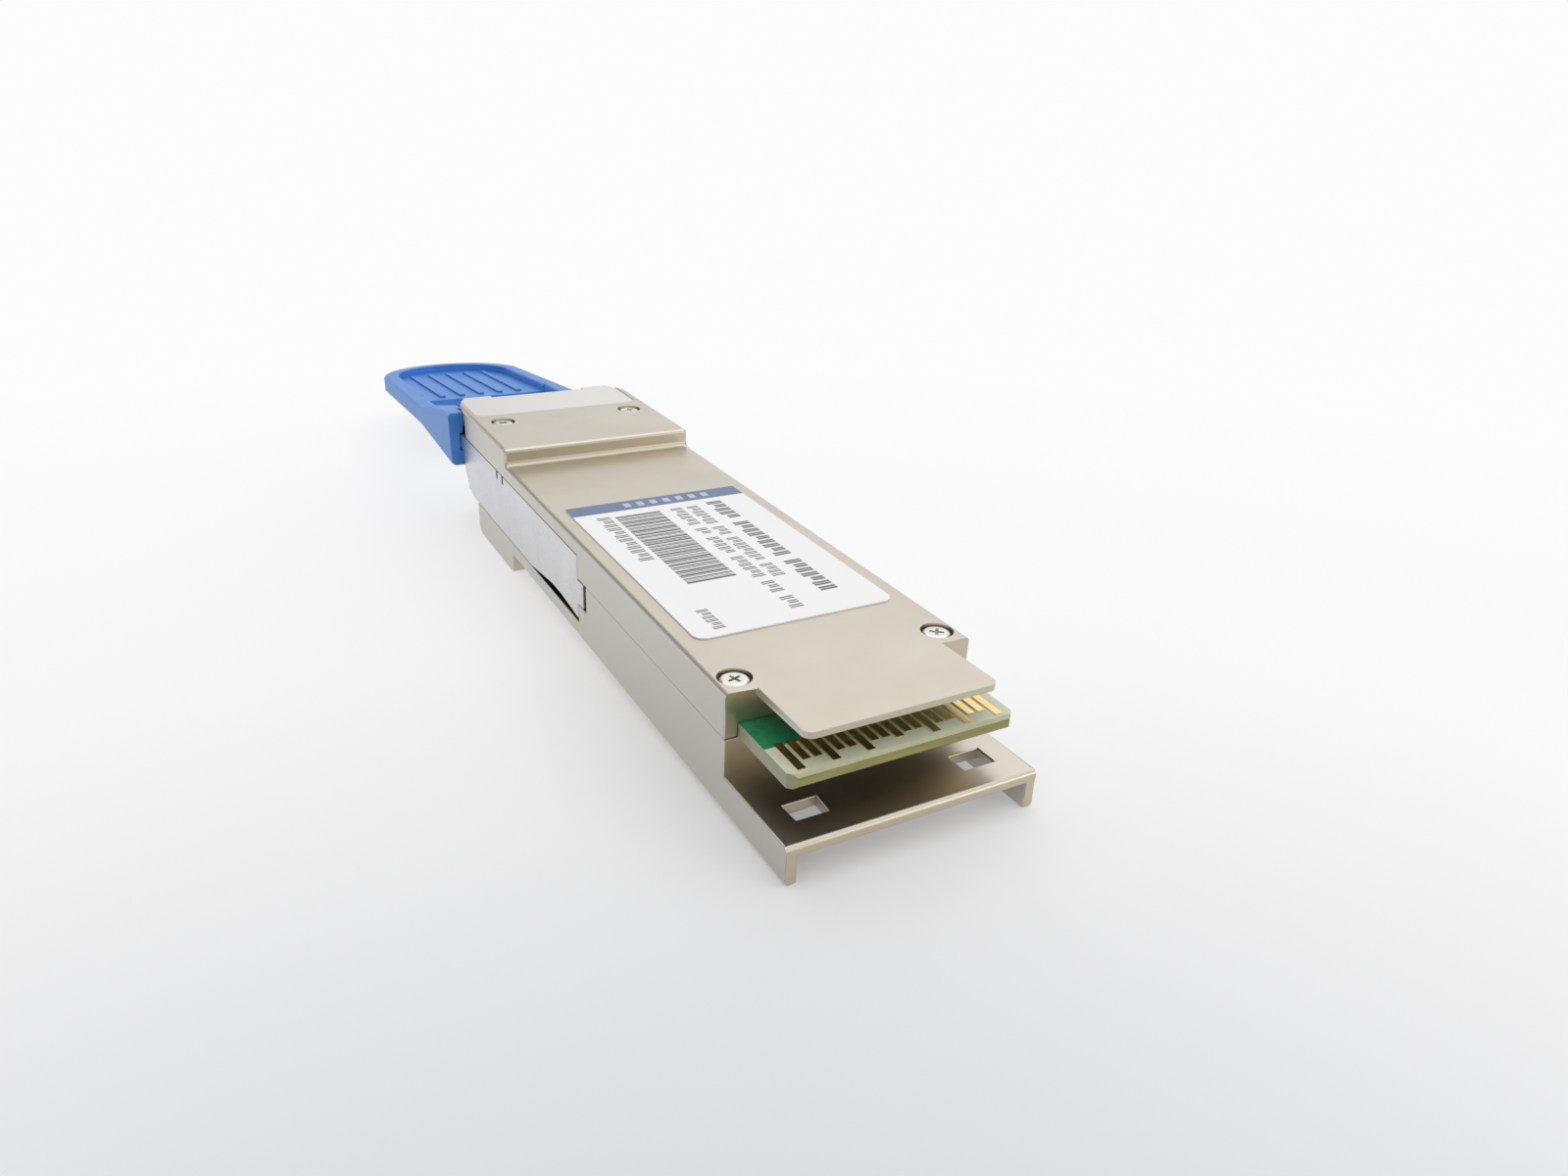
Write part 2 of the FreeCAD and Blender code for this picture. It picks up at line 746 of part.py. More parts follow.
side_cut(cover, "cover_arm_recess", [
    ("arm_start - arm_end_gap", f"split_height - {PAST}"),
    (f"cover_shoulder + {PAST}", f"split_height - {PAST}"),
    (f"cover_shoulder + {PAST}", "arm_high + arm_edge_gap"),
    ("arm_start - arm_end_gap", "arm_high + arm_edge_gap"),
], "arm_thick + arm_gap")
side_cut(cover, "cover_spring_pocket", [
    ("spring_start", f"split_height - {PAST}"),
    ("spring_end", f"split_height - {PAST}"),
    ("spring_end", "spring_z + spring_room"),
    ("spring_start", "spring_z + spring_room"),
], "half_width - spring_inner")

# Cover screws: a pan head that sits in its counterbore and a plain shank that reaches into the base's boss.
screws = []
for number, (across, along, top) in enumerate(screw_places(), start=1):
    head = doc.addObject("Part::Cylinder", f"screw_head_{number}")
    bind(head, Radius="screw_head_radius", Height="screw_head_height")
    bind(head, Placement__Base__z=f"{top} - counterbore_depth")
    shank = doc.addObject("Part::Cylinder", f"screw_shank_{number}")
    bind(shank, Radius="screw_radius", Height=f"{top} - counterbore_depth - split_height + screw_grip")
    bind(shank, Placement__Base__z="split_height - screw_grip")
    for cylinder in (head, shank):
        bind(cylinder, Placement__Base__x=across, Placement__Base__y=along)
    screw = doc.addObject("Part::Fuse", f"screw_{number}")
    screw.Base = head
    screw.Tool = shank
    screws.append(screw)
group("cover_screws", screws)

# Circuit board: notched round the near screws, narrower behind the release arms, bevelled at the card edge.
board = new_body("main_board")
plan = new_sketch(board, "board_plan", "XY_Plane", "split_height")
draw_outline(plan, mirrored([
    ("board_half - board_corner", "board_start"),
    ("board_half", "board_start + board_corner"),
    ("board_half", "near_screw_y - boss_radius - board_clearance"),
    ("near_screw_x - boss_radius - board_clearance", "near_screw_y - boss_radius - board_clearance"),
    ("near_screw_x - boss_radius - board_clearance", "near_screw_y + boss_radius + board_clearance"),
    ("board_half", "near_screw_y + boss_radius + board_clearance"),
    ("board_half", "wall_step - board_clearance"),
    ("board_inner_half", "wall_step - board_clearance"),
    ("board_inner_half", "board_end"),
]))
pad(board, plan, "board_thick")
card_edge = edges_at(board.Tip.Shape, "x", lambda p: near(p.y, size("board_start")))
soften(board, "Chamfer", card_edge, "Size", "board_bevel")

# Contacts: a row of plated pads on each face. Every third is a ground and reaches furthest, the middle one
# carries power and comes next, and the signals between them start last.
CONTACT_COLUMNS = range(-9, 10)


def contact_tip(column):
    if column == 0:
        return "power_tip"
    return "ground_tip" if column % 3 == 0 else "signal_tip"


def contact_row(label, low):
    pads = []
    for column in CONTACT_COLUMNS:
        across = about(f"{column} * contact_pitch", "contact_width")
        along = (f"board_start + {contact_tip(column)}", "board_start + contact_reach")
        pads.append(box(f"{label}_{column + 10}", across, along, (low, f"{low} + contact_thick")))
    return group(label, pads)


contact_row("upper_contacts", "board_top")
contact_row("lower_contacts", "split_height - contact_thick")


# Release arms: sheet that slides in the side recesses. The tip pushes the cage's latch aside, a lug on the
# inner face below two slits pushes the return spring, and the post of the pull tab holds the front end.
def release_arm(label, side):
    arm = new_body(label)
    outer = signed(side, "half_width")
    flat = new_sketch(arm, f"{label}_flat", "YZ_Plane", signed(side, "arm_inner"))
    draw_outline(flat, [
        ("arm_start", "arm_near_low"),
        ("arm_start + arm_arch_start", "arm_arch_low"),
        ("arm_start + arm_arch_end", "arm_arch_low"),
        ("arm_start + arm_arch_end + arm_ramp", "arm_low"),
        ("arm_end", "arm_low"),
        ("arm_end", "insert_low"),
        ("tab_start + insert_length", "insert_low"),
        ("tab_start + insert_length", "insert_high"),
        ("arm_end", "insert_high"),
        ("arm_end", "arm_high"),
        ("notch_end", "arm_high"),
        ("notch_end", "notch_bottom"),
        ("notch_end - slit_width", "notch_bottom"),
        ("notch_end - slit_width", "arm_high"),
        ("notch_start + slit_width", "arm_high"),
        ("notch_start + slit_width", "notch_bottom"),
        ("notch_start", "notch_bottom"),
        ("notch_start", "arm_high"),
        ("arm_start", "arm_high"),
        ("arm_start", "tip_high"),
        ("arm_start - tip_length", "tip_high"),
        ("arm_start - tip_length", "tip_low"),
        ("arm_start", "tip_low"),
    ])
    pad(arm, flat, "arm_thick", back=side < 0)
    low_corner = edges_at(
        arm.Tip.Shape, "x", lambda p: near(p.y, size("arm_end")) and near(p.z, size("arm_low"))
    )
    soften(arm, "Fillet", low_corner, "Radius", "min(arm_corner; (insert_low - arm_low) * 0.95)")
    lug = new_sketch(arm, f"{label}_lug", "XY_Plane", "spring_z - arm_thick / 2")
    draw_box(lug, (signed(side, "spring_inner + arm_gap"), outer), ("lug_start", "lug_end"))
    pad(arm, lug, "arm_thick")
    return arm


release_arm("left_release_arm", -1)
release_arm("right_release_arm", 1)

# Return springs: square wire coiled between the arm's lug and the end of its pocket.
SPRING_TURNS = "3"
WIRE_SIDES = 4


def return_spring(label, side):
    helix = doc.addObject("Part::Helix", f"{label}_path")
    helix.Placement = FreeCAD.Placement(FreeCAD.Vector(), FreeCAD.Rotation(FreeCAD.Vector(1, 0, 0), -90))
    bind(
        helix,
        Radius="spring_radius - spring_wire / 2",
        Pitch=f"(spring_length - spring_wire) / {SPRING_TURNS}",
        Height="spring_length - spring_wire",
        Placement__Base__x=signed(side, "spring_x"),
        Placement__Base__y="lug_end + spring_wire / 2",
        Placement__Base__z="spring_z",
    )
    wire = doc.addObject("Part::RegularPolygon", f"{label}_wire")
    wire.Polygon = WIRE_SIDES
    bind(
        wire,
        Circumradius="spring_wire / 2",
        Placement__Base__x=f"{signed(side, 'spring_x')} + spring_radius - spring_wire / 2",
        Placement__Base__y="lug_end + spring_wire / 2",
        Placement__Base__z="spring_z",
    )
    coil = doc.addObject("Part::Sweep", label)
    coil.Sections = [wire]
    coil.Spine = (helix, [])
    coil.Solid = True
    coil.Frenet = True
    return coil


return_spring("left_return_spring", -1)
return_spring("right_return_spring", 1)

# Pull tab: one moulding. Two posts hold the arms, two straps run past the fibre plugs, and the grip is a
# round-ended tray with a raised rim and ribs, sloping down a little towards its end.
tab = new_body("pull_tab")
outline = new_sketch(tab, "tab_side", "YZ_Plane", f"-(tab_half + {PAST})")
RUN_OUT = f"grip_drop * (grip_length + {PAST}) / grip_length"
draw_outline(outline, [
    ("tab_start", "post_low"),
    ("grip_start", "rim_top - rim_height"),
    (f"grip_start + grip_length + {PAST}", f"rim_top - rim_height - {RUN_OUT}"),
    (f"grip_start + grip_length + {PAST}", f"rim_top - {RUN_OUT}"),
    ("grip_start", "rim_top"),
    ("post_back", "post_high - post_fall"),
    ("tab_start", "post_high"),
])
pad(tab, outline, f"2 * (tab_half + {PAST})")


def grip_sketch(name, depth):
    """A sketch on the sloping face of the grip, or a depth below it, with its origin at the grip's start."""
    slope = "atan(grip_drop / grip_length)"
    sketch = new_sketch(tab, name, "XY_Plane")
    sketch.AttachmentOffset = FreeCAD.Placement(
        FreeCAD.Vector(), FreeCAD.Rotation(FreeCAD.Vector(-1, 0, 0), 1)
    )
    bind(sketch, AttachmentOffset__Base__y=f"grip_start - ({depth}) * sin({slope})")
    bind(sketch, AttachmentOffset__Base__z=f"rim_top - ({depth}) * cos({slope})")
    bind(sketch, AttachmentOffset__Rotation__Angle=slope)
    return sketch


around = grip_sketch("tab_plan", f"-4 * {PAST}")
draw_box(
    around,
    (f"-(tab_half + 2 * {PAST})", f"tab_half + 2 * {PAST}"),
    (f"-(strap_length + 3 * {PAST})", f"grip_length + 3 * {PAST}"),
)
draw_round_end(around, "tab_half", f"-strap_length - {PAST}", "crown_half", "grip_length - crown_half")
pocket(tab, around, f"8 * {PAST}")


def tab_outline(upper):
    """Names of the edges along the outer outline of the tab, at its upper or at its lower face."""
    slope = math.atan2(size("grip_drop"), size("grip_length"))
    centre = size("grip_length - crown_half")
    taper = size("tab_half - crown_half") / (centre + size(f"strap_length + {PAST}"))
    names = []
    for number, edge in enumerate(tab.Tip.Shape.Edges, start=1):
        first, last = edge.ParameterRange
        points = [edge.valueAt(first + share * (last - first)) for share in (0, 0.5, 1)]
        misses = []
        for point in points:
            beyond, above = point.y - size("grip_start"), point.z - size("rim_top")
            along = beyond * math.cos(slope) - above * math.sin(slope)
            reach = math.hypot(point.x, max(0, along - centre))
            misses.append(abs(reach - size("crown_half") - max(0, centre - along) * taper))
        span = points[2] - points[0]
        upright = abs(span.z) > 0.9 * span.Length
        if upright or max(misses) > 0.01:
            continue
        fall = max(0, points[1].y - size("grip_start")) * math.tan(slope)
        middle = size("rim_top") - size("rim_height") / 2 - fall
        if (points[1].z > middle) == upper:
            names.append(f"Edge{number}")
    return names


soften(tab, "Fillet", tab_outline(upper=True), "Radius", "tab_round")
soften(tab, "Chamfer", tab_outline(upper=False), "Size", "tab_bevel")

gap = new_sketch(tab, "plug_gap", "XY_Plane", f"post_high + {PAST}")
draw_outline(gap, mirrored([
    ("front_half + tab_gap", f"tab_start - {PAST}"),
    ("front_half + tab_gap", "body_length + 2 * tab_gap"),
    ("gap_half", "body_length + 2 * tab_gap"),
    ("gap_half", "floor_start"),
]))
pocket(tab, gap, f"post_high + 4 * {PAST}")

recess = grip_sketch("grip_recess", "0")
draw_round_end(
    recess, "gap_half", f"floor_lag - {PAST}", "crown_half - rim_width", "grip_length - crown_half"
)
pocket(tab, recess, "recess_depth")

RIBS = range(-2, 3)
ribs = grip_sketch("grip_ribs", "recess_depth + rib_height / 2")
for number in RIBS:
    draw_box(
        ribs,
        about(f"{number} * rib_pitch", "rib_width"),
        ("floor_lag + rib_margin", "grip_length - rim_width - 2 * rib_margin"),
    )
pad(tab, ribs, "1.5 * rib_height")

inserts = new_sketch(tab, "arm_slots", "XZ_Plane", "-tab_start")
for side in SIDES:
    draw_box(inserts, (signed(side, "arm_inner"), signed(side, "half_width")), ("insert_low", "insert_high"))
pocket(tab, inserts, "insert_length")

# Fibre receptacle: moulded block with two square ports, a latch slot over each and holes for the barrels.
receptacle = new_body("fibre_receptacle")
block = new_sketch(receptacle, "receptacle_plan", "XY_Plane", "floor_wall")
draw_box(block, ("-receptacle_half", "receptacle_half"), ("receptacle_start", "receptacle_front"))
pad(receptacle, block, "front_underside - receptacle_gap - floor_wall")

ports = new_sketch(receptacle, "ports", "XZ_Plane", "-receptacle_front")
for side in SIDES:
    middle = f"{side} * fibre_pitch / 2"
    left, right = about(middle, "port_width")
    catch_left, catch_right = about(middle, "catch_width")
    draw_outline(ports, [
        (left, "port_low"),
        (right, "port_low"),
        (right, "port_high"),
        (catch_right, "port_high"),
        (catch_right, f"head_underside + {PAST}"),
        (catch_left, f"head_underside + {PAST}"),
        (catch_left, "port_high"),
        (left, "port_high"),
    ])
pocket(receptacle, ports, "receptacle_length - receptacle_rear_wall", back=True)

# Behind the two catches the latch slots widen, so that the hooks of a plug's latch spring out there.
latches = new_sketch(receptacle, "latch_slots", "XZ_Plane", "-(receptacle_front - catch_length)")
barrel_holes = new_sketch(receptacle, "barrel_holes", "XZ_Plane", "-receptacle_front")
for side in SIDES:
    middle = f"{side} * fibre_pitch / 2"
    draw_box(latches, about(middle, "latch_width"), ("fibre_height", f"head_underside + {PAST}"))
    draw_circle(barrel_holes, middle, "fibre_height", "nose_radius + cradle_slot_gap")
pocket(receptacle, latches, "receptacle_length - receptacle_rear_wall - catch_length", back=True)
pocket(receptacle, barrel_holes, "receptacle_length", back=True)


# Optical boxes, barrels and flexible circuits, one set for each direction.
def optical_set(word, side):
    middle = f"{side} * fibre_pitch / 2"
    case = box(
        f"{word}_case",
        about(middle, "package_width"),
        ("package_start", "head_start"),
        ("package_low", "package_high - package_lid"),
    )
    lid = box(
        f"{word}_lid",
        about(middle, "(package_width - 2 * package_lid_inset)"),
        ("package_start + package_lid_inset", "head_start - package_lid_inset"),
        ("package_high - package_lid", "package_high"),
    )
    package = doc.addObject("Part::Fuse", f"{word}_package")
    package.Base = case
    package.Tool = lid

    barrel = new_body(f"{word}_barrel")
    half_section = new_sketch(barrel, f"{word}_section", "YZ_Plane", middle)
    bind(half_section, AttachmentOffset__Base__y="fibre_height")
    draw_outline(half_section, [
        ("head_start", "0"),
        ("head_start", "flange_radius"),
        ("neck_start", "flange_radius"),
        ("neck_start", "neck_radius"),
        ("neck_end", "neck_radius"),
        ("neck_end", "flange_radius"),
        ("neck_end + flange_length / 2", "flange_radius"),
        ("neck_end + flange_length / 2", "nose_radius"),
        ("nose_end", "nose_radius"),
        ("nose_end", "ferrule_radius"),
        ("nose_end - ferrule_depth", "ferrule_radius"),
        ("nose_end - ferrule_depth", "0"),
    ])
    turned = barrel.newObject("PartDesign::Revolution", f"{word}_turning")
    turned.Profile = half_section
    turned.ReferenceAxis = (half_section, ["H_Axis"])
    doc.recompute()

    flex = new_body(f"{word}_flex")
    route = new_sketch(flex, f"{word}_flex_route", "YZ_Plane", f"{middle} - flex_width / 2")
    landing = "package_high - 2 * package_lid - flex_thick"
    draw_outline(route, [
        ("board_end - flex_overlap", "board_top"),
        ("board_end + flex_thick", "board_top"),
        ("package_start - 3 * flex_thick", landing),
        ("package_start", landing),
        ("package_start", f"{landing} + flex_thick"),
        ("package_start - 3 * flex_thick", f"{landing} + flex_thick"),
        ("board_end + flex_thick", "board_top + flex_thick"),
        ("board_end - flex_overlap", "board_top + flex_thick"),
    ])
    pad(flex, route, "flex_width")

    return box(
        f"{word}_thermal_pad",
        about(middle, "package_width"),
        ("package_start", "belly_start"),
        ("floor_wall", "package_low"),
    )


group("optics_thermal_pads", [optical_set("transmitter", -1), optical_set("receiver", 1)])

# Barrel cradle: a bracket across the head with two round-bottomed slots for the necks of the barrels.
cradle = new_body("barrel_cradle")
face = new_sketch(cradle, "cradle_face", "XZ_Plane", "-(neck_start + cradle_slot_gap)")
draw_box(face, ("-cradle_half", "cradle_half"), ("floor_wall", "fibre_height + cradle_rise"))
pad(cradle, face, "neck_length - 2 * cradle_slot_gap", back=True)
slots = new_sketch(cradle, "neck_slots", "XZ_Plane", "-neck_end")
throats = new_sketch(cradle, "slot_throats", "XZ_Plane", "-neck_end")
for side in SIDES:
    middle = f"{side} * fibre_pitch / 2"
    draw_circle(slots, middle, "fibre_height", "neck_radius + cradle_slot_gap")
    draw_box(
        throats,
        about(middle, "(2 * neck_radius + 2 * cradle_slot_gap)"),
        ("fibre_height", f"fibre_height + cradle_rise + {PAST}"),
    )
pocket(cradle, slots, "neck_length", back=True)
pocket(cradle, throats, "neck_length", back=True)


# Chips: flat moulded packages with a bevelled upper edge.
def chip(label, across, along, side_length, height):
    blank = box(
        f"{label}_blank",
        about(across, side_length),
        about(along, side_length),
        ("board_top", f"board_top + {height}"),
    )
    doc.recompute()
    top = blank.Shape.BoundBox.ZMax
    rim = edges_at(blank.Shape, "x", lambda p: near(p.z, top))
    rim += edges_at(blank.Shape, "y", lambda p: near(p.z, top))
    item = doc.addObject("Part::Chamfer", label)
    item.Base = blank
    bevel = size("chip_bevel")
    item.Edges = [(int(name[4:]), bevel, bevel) for name in rim]
    return item


chip("transmit_chip", "-chip_x", "chip_y", "chip_size", "chip_height")
chip("receive_chip", "chip_x", "chip_y", "chip_size", "chip_height")
chip("controller_chip", "0", "controller_y", "controller_size", "controller_height")
box(
    "chip_thermal_pad",
    ("-(chip_x + chip_size / 2)", "chip_x + chip_size / 2"),
    about("chip_y", "chip_size"),
    ("board_top + chip_height", "cover_underside"),
)

# Power parts: square inductors in a row and small capacitors in two rows beside the chips.
inductors = []
for column in range(-1, 2):
    inductors.append(box(
        f"inductor_{column + 2}",
        about(f"{column} * inductor_pitch", "inductor_size"),
        about("inductor_y", "inductor_size"),
        ("board_top", "board_top + inductor_height"),
    ))
group("power_inductors", inductors)

capacitors = []
for lane in range(2):
    start = f"capacitor_y + {lane} * capacitor_pitch"
    for column in range(-3, 4):
        capacitors.append(box(
            f"capacitor_{lane}_{column + 4}",
            about(f"{column} * capacitor_pitch", "capacitor_width"),
            (start, f"{start} + capacitor_length"),
            ("board_top", "board_top + capacitor_height"),
        ))
group("board_capacitors", capacitors)

# Label: a thin sticker with rounded corners on the flat of the cover.
label = new_body("label")
plan = new_sketch(label, "label_plan", "XY_Plane", "body_height")
draw_box(plan, ("-label_half", "label_half"), ("label_start", "label_start + label_length"))
pad(label, plan, "label_thick")
near_corners = edges_at(label.Tip.Shape, "z", lambda p: near(p.y, size("label_start")))
soften(label, "Fillet", near_corners, "Radius", "label_near_corner")
far_corners = edges_at(label.Tip.Shape, "z", lambda p: near(p.y, size("label_start + label_length")))
soften(label, "Fillet", far_corners, "Radius", "label_far_corner")

# Check every object, then write each piece to its own file.
NODES = (
    "base_housing", "top_cover", "cover_screws", "main_board", "upper_contacts", "lower_contacts",
    "label", "left_release_arm", "right_release_arm", "left_return_spring", "right_return_spring",
    "pull_tab", "fibre_receptacle", "transmitter_package", "receiver_package", "transmitter_barrel",
    "receiver_barrel", "transmitter_flex", "receiver_flex", "optics_thermal_pads", "barrel_cradle",
    "transmit_chip", "receive_chip", "controller_chip", "chip_thermal_pad", "power_inductors",
    "board_capacitors",
)
doc.recompute()
for item in doc.Objects:
    if "Invalid" in item.State or "Error" in item.State:
        raise ValueError(f"{item.Name} failed: {item.State}")
os.makedirs("parts", exist_ok=True)
for node in NODES:
    shape = doc.getObject(node).Shape
    if shape.isNull() or not shape.isValid():
        raise ValueError(f"{node} has no valid shape")
    shape.exportStep(f"parts/{node}.step")
    print(f"{node}: {len(shape.Solids)} solid(s), {shape.Volume:.1f} cubic millimetres")
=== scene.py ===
import math

import bpy
from mathutils import Matrix, Vector


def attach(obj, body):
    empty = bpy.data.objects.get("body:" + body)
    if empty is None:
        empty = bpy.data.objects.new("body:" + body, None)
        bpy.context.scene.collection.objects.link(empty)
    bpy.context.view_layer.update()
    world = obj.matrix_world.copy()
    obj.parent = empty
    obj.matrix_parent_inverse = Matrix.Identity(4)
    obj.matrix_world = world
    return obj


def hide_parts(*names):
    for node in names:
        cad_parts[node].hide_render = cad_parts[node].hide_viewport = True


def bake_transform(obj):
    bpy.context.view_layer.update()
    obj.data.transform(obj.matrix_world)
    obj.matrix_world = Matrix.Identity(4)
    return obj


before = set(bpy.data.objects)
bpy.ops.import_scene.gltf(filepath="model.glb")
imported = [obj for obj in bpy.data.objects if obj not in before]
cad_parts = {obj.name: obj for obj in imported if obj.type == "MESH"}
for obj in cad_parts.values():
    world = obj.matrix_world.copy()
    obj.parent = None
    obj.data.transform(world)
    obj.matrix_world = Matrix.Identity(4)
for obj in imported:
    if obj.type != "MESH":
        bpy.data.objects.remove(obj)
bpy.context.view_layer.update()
scene = bpy.context.scene

# Lower shell.
# One zinc casting plated with satin nickel, which carries the board, the optics and the release arms.
# Tumbling before plating breaks its edges, so each edge has a small round and catches the light.
MM = 0.001
NICKEL_DARK = (0.55, 0.51, 0.43, 1.0)
NICKEL_LIGHT = (0.60, 0.56, 0.48, 1.0)
# Painted reflection tints: warm for the casting's end faces, cool for its side faces.
NICKEL_PAINTED_WARM_REFLECTION = (0.57, 0.505, 0.385, 1.0)
NICKEL_PAINTED_COOL_REFLECTION = (0.57, 0.55, 0.50, 1.0)
BLASTED_NICKEL = (0.74, 0.73, 0.70, 1.0)
# Painted reflection: dark olive tone of the connector plate's upper face, as if mirroring the shaded board
# above it.
PLATE_PAINTED_REFLECTION = (0.30, 0.27, 0.16, 1.0)
SATIN_ROUGH = (0.29, 0.36)
PLATE_POLISH = 0.17
PANEL_MATT = 0.12
CAST_EDGE_ROUND = 0.12
PANEL_TOP = 10.0
PLATE_TOP = 1.6
JOIN_REACH = 0.001
FLAT_ANGLE = 0.5
ROUND_ROOM = 1.6


def finish(name, base, roughness, metallic=0.0):
    """A new material with one surface shader, its constant values set on the shader's own sockets."""
    material = bpy.data.materials.new(name)
    material.use_nodes = True
    shader = material.node_tree.nodes["Principled BSDF"]
    values = {"Base Color": base, "Roughness": roughness, "Metallic": metallic}
    for socket, value in values.items():
        shader.inputs[socket].default_value = value
    return material


def add_node(material, kind, inputs, **settings):
    """A new node of a material, with sockets linked and constants set."""
    tree = material.node_tree
    made = tree.nodes.new(kind)
    for name, value in settings.items():
        setattr(made, name, value)
    for name, value in inputs.items():
        if isinstance(value, bpy.types.NodeSocket):
            tree.links.new(value, made.inputs[name])
        else:
            made.inputs[name].default_value = value
    return made


def feed(material, socket, value):
    """Link a value to the material's surface shader."""
    shader = material.node_tree.nodes["Principled BSDF"]
    material.node_tree.links.new(value, shader.inputs[socket])


def position(material):
    """Where a point lies on the module, in metres."""
    return add_node(material, "ShaderNodeTexCoord", {}).outputs["Object"]


def grain(material, per_mm, stretch=(1, 1, 1), detail=3.0):
    """Noise with about so many marks in a millimetre, drawn out along an axis by a small stretch value."""
    scale = [per_mm / MM * share for share in stretch]
    place = add_node(material, "ShaderNodeMapping", {"Vector": position(material), "Scale": scale})
    inputs = {"Vector": place.outputs["Vector"], "Scale": 1.0, "Detail": detail, "Roughness": 0.55}
    return add_node(material, "ShaderNodeTexNoise", inputs).outputs["Fac"]


def ranged(material, value, low, high, start=0.3, stop=0.7):
    """A value brought from one range to another."""
    inputs = {"Value": value, "From Min": start, "From Max": stop, "To Min": low, "To Max": high}
    return add_node(material, "ShaderNodeMapRange", inputs).outputs["Result"]


def mixed(material, factor, first, second):
    """A colour between two colours."""
    node = add_node(material, "ShaderNodeMix", {}, data_type="RGBA")
    for socket, value in zip((node.inputs[0], node.inputs[6], node.inputs[7]), (factor, first, second)):
        if isinstance(value, bpy.types.NodeSocket):
            material.node_tree.links.new(value, socket)
        else:
            socket.default_value = value
    return node.outputs[2]


def relief(material, height, depth_mm, strength=1.0):
    """Fine unevenness of the surface."""
    inputs = {"Height": height, "Distance": depth_mm * MM, "Strength": strength}
    feed(material, "Normal", add_node(material, "ShaderNodeBump", inputs).outputs["Normal"])


def axis_value(material, axis):
    """How far along an axis of the module a point lies, in metres."""
    parts = add_node(material, "ShaderNodeSeparateXYZ", {"Vector": position(material)})
    return parts.outputs[axis]


def beyond(material, value, limit, fade):
    """One beyond a limit in millimetres, zero before it, with a short fade between."""
    return ranged(material, value, 0.0, 1.0, (limit - fade / 2) * MM, (limit + fade / 2) * MM)


def combined(material, operation, first, second=0.0):
    """A value made from one or two others."""
    return add_node(material, "ShaderNodeMath", {0: first, 1: second}, operation=operation).outputs[0]


def facing(material, axis, both_ways=True):
    """One on faces that look along an axis, either way or only forwards, and zero on faces beside it."""
    normal = add_node(material, "ShaderNodeNewGeometry", {}).outputs["Normal"]
    share = add_node(material, "ShaderNodeSeparateXYZ", {"Vector": normal}).outputs[axis]
    if both_ways:
        share = combined(material, "ABSOLUTE", share)
    return ranged(material, share, 0.0, 1.0, 0.5, 0.9)


def cast_metal(name):
    """Satin nickel with painted reflections: a warm tint on a casting's ends and a cool one on its sides, a
    dark olive tone on the connector plate, which is also smooth, and matt on the head's panel.
    """
    metal = finish(name, NICKEL_LIGHT, 0.33, metallic=1.0)
    height = axis_value(metal, "Z")
    level = facing(metal, "Z", both_ways=False)
    above = beyond(metal, height, PANEL_TOP - 0.05, 0.02)
    over = beyond(metal, height, PANEL_TOP + 0.05, 0.02)
    panel = combined(metal, "MULTIPLY", level, combined(metal, "SUBTRACT", above, over))
    raised = beyond(metal, height, PLATE_TOP, 0.1)
    plate = combined(metal, "MULTIPLY", level, combined(metal, "SUBTRACT", 1.0, raised))
    clouds = ranged(metal, grain(metal, 0.15), 0.0, 1.0)
    tone = mixed(metal, clouds, NICKEL_DARK, NICKEL_LIGHT)
    # Painted reflections: side faces get a cool tint and end faces a warm tint, standing in for what they
    # reflect.
    tone = mixed(metal, facing(metal, "X"), tone, NICKEL_PAINTED_COOL_REFLECTION)
    tone = mixed(metal, facing(metal, "Y"), tone, NICKEL_PAINTED_WARM_REFLECTION)
    # Painted reflection: the upper face of the connector plate is darkened to olive, standing in for the
    # shaded board it mirrors.
    tone = mixed(metal, plate, tone, PLATE_PAINTED_REFLECTION)
    feed(metal, "Base Color", mixed(metal, panel, tone, BLASTED_NICKEL))
    satin = ranged(metal, grain(metal, 6.0), *SATIN_ROUGH)
    polished = combined(metal, "MULTIPLY", plate, PLATE_POLISH)
    matt = combined(metal, "MULTIPLY", panel, PANEL_MATT)
    feed(metal, "Roughness", combined(metal, "ADD", combined(metal, "SUBTRACT", satin, polished), matt))
    relief(metal, grain(metal, 8.0), 0.004, 0.35)
    return metal


def select_only(piece):
    """Make a piece the active one and the only one selected."""
    bpy.ops.object.select_all(action="DESELECT")
    bpy.context.view_layer.objects.active = piece
    piece.select_set(True)


def pick_edges(mesh, edge_round, sharp):
    """Select the sharp outer edges between faces that are wide enough to take the round."""
    beside = {}
    for face in mesh.polygons:
        for key in face.edge_keys:
            beside.setdefault(key, []).append(face)
    for edge in mesh.edges:
        first, second = beside[edge.key]
        turn = first.normal.angle(second.normal)
        outer = (second.center - first.center).dot(first.normal) < 0
        widths = []
        for face in (first, second):
            corners = [mesh.vertices[index].co for index in face.vertices]
            girth = sum((corner - corners[number - 1]).length for number, corner in enumerate(corners))
            widths.append(2 * face.area / girth)
        edge.select = outer and turn > math.radians(sharp) and min(widths) > ROUND_ROOM * edge_round * MM


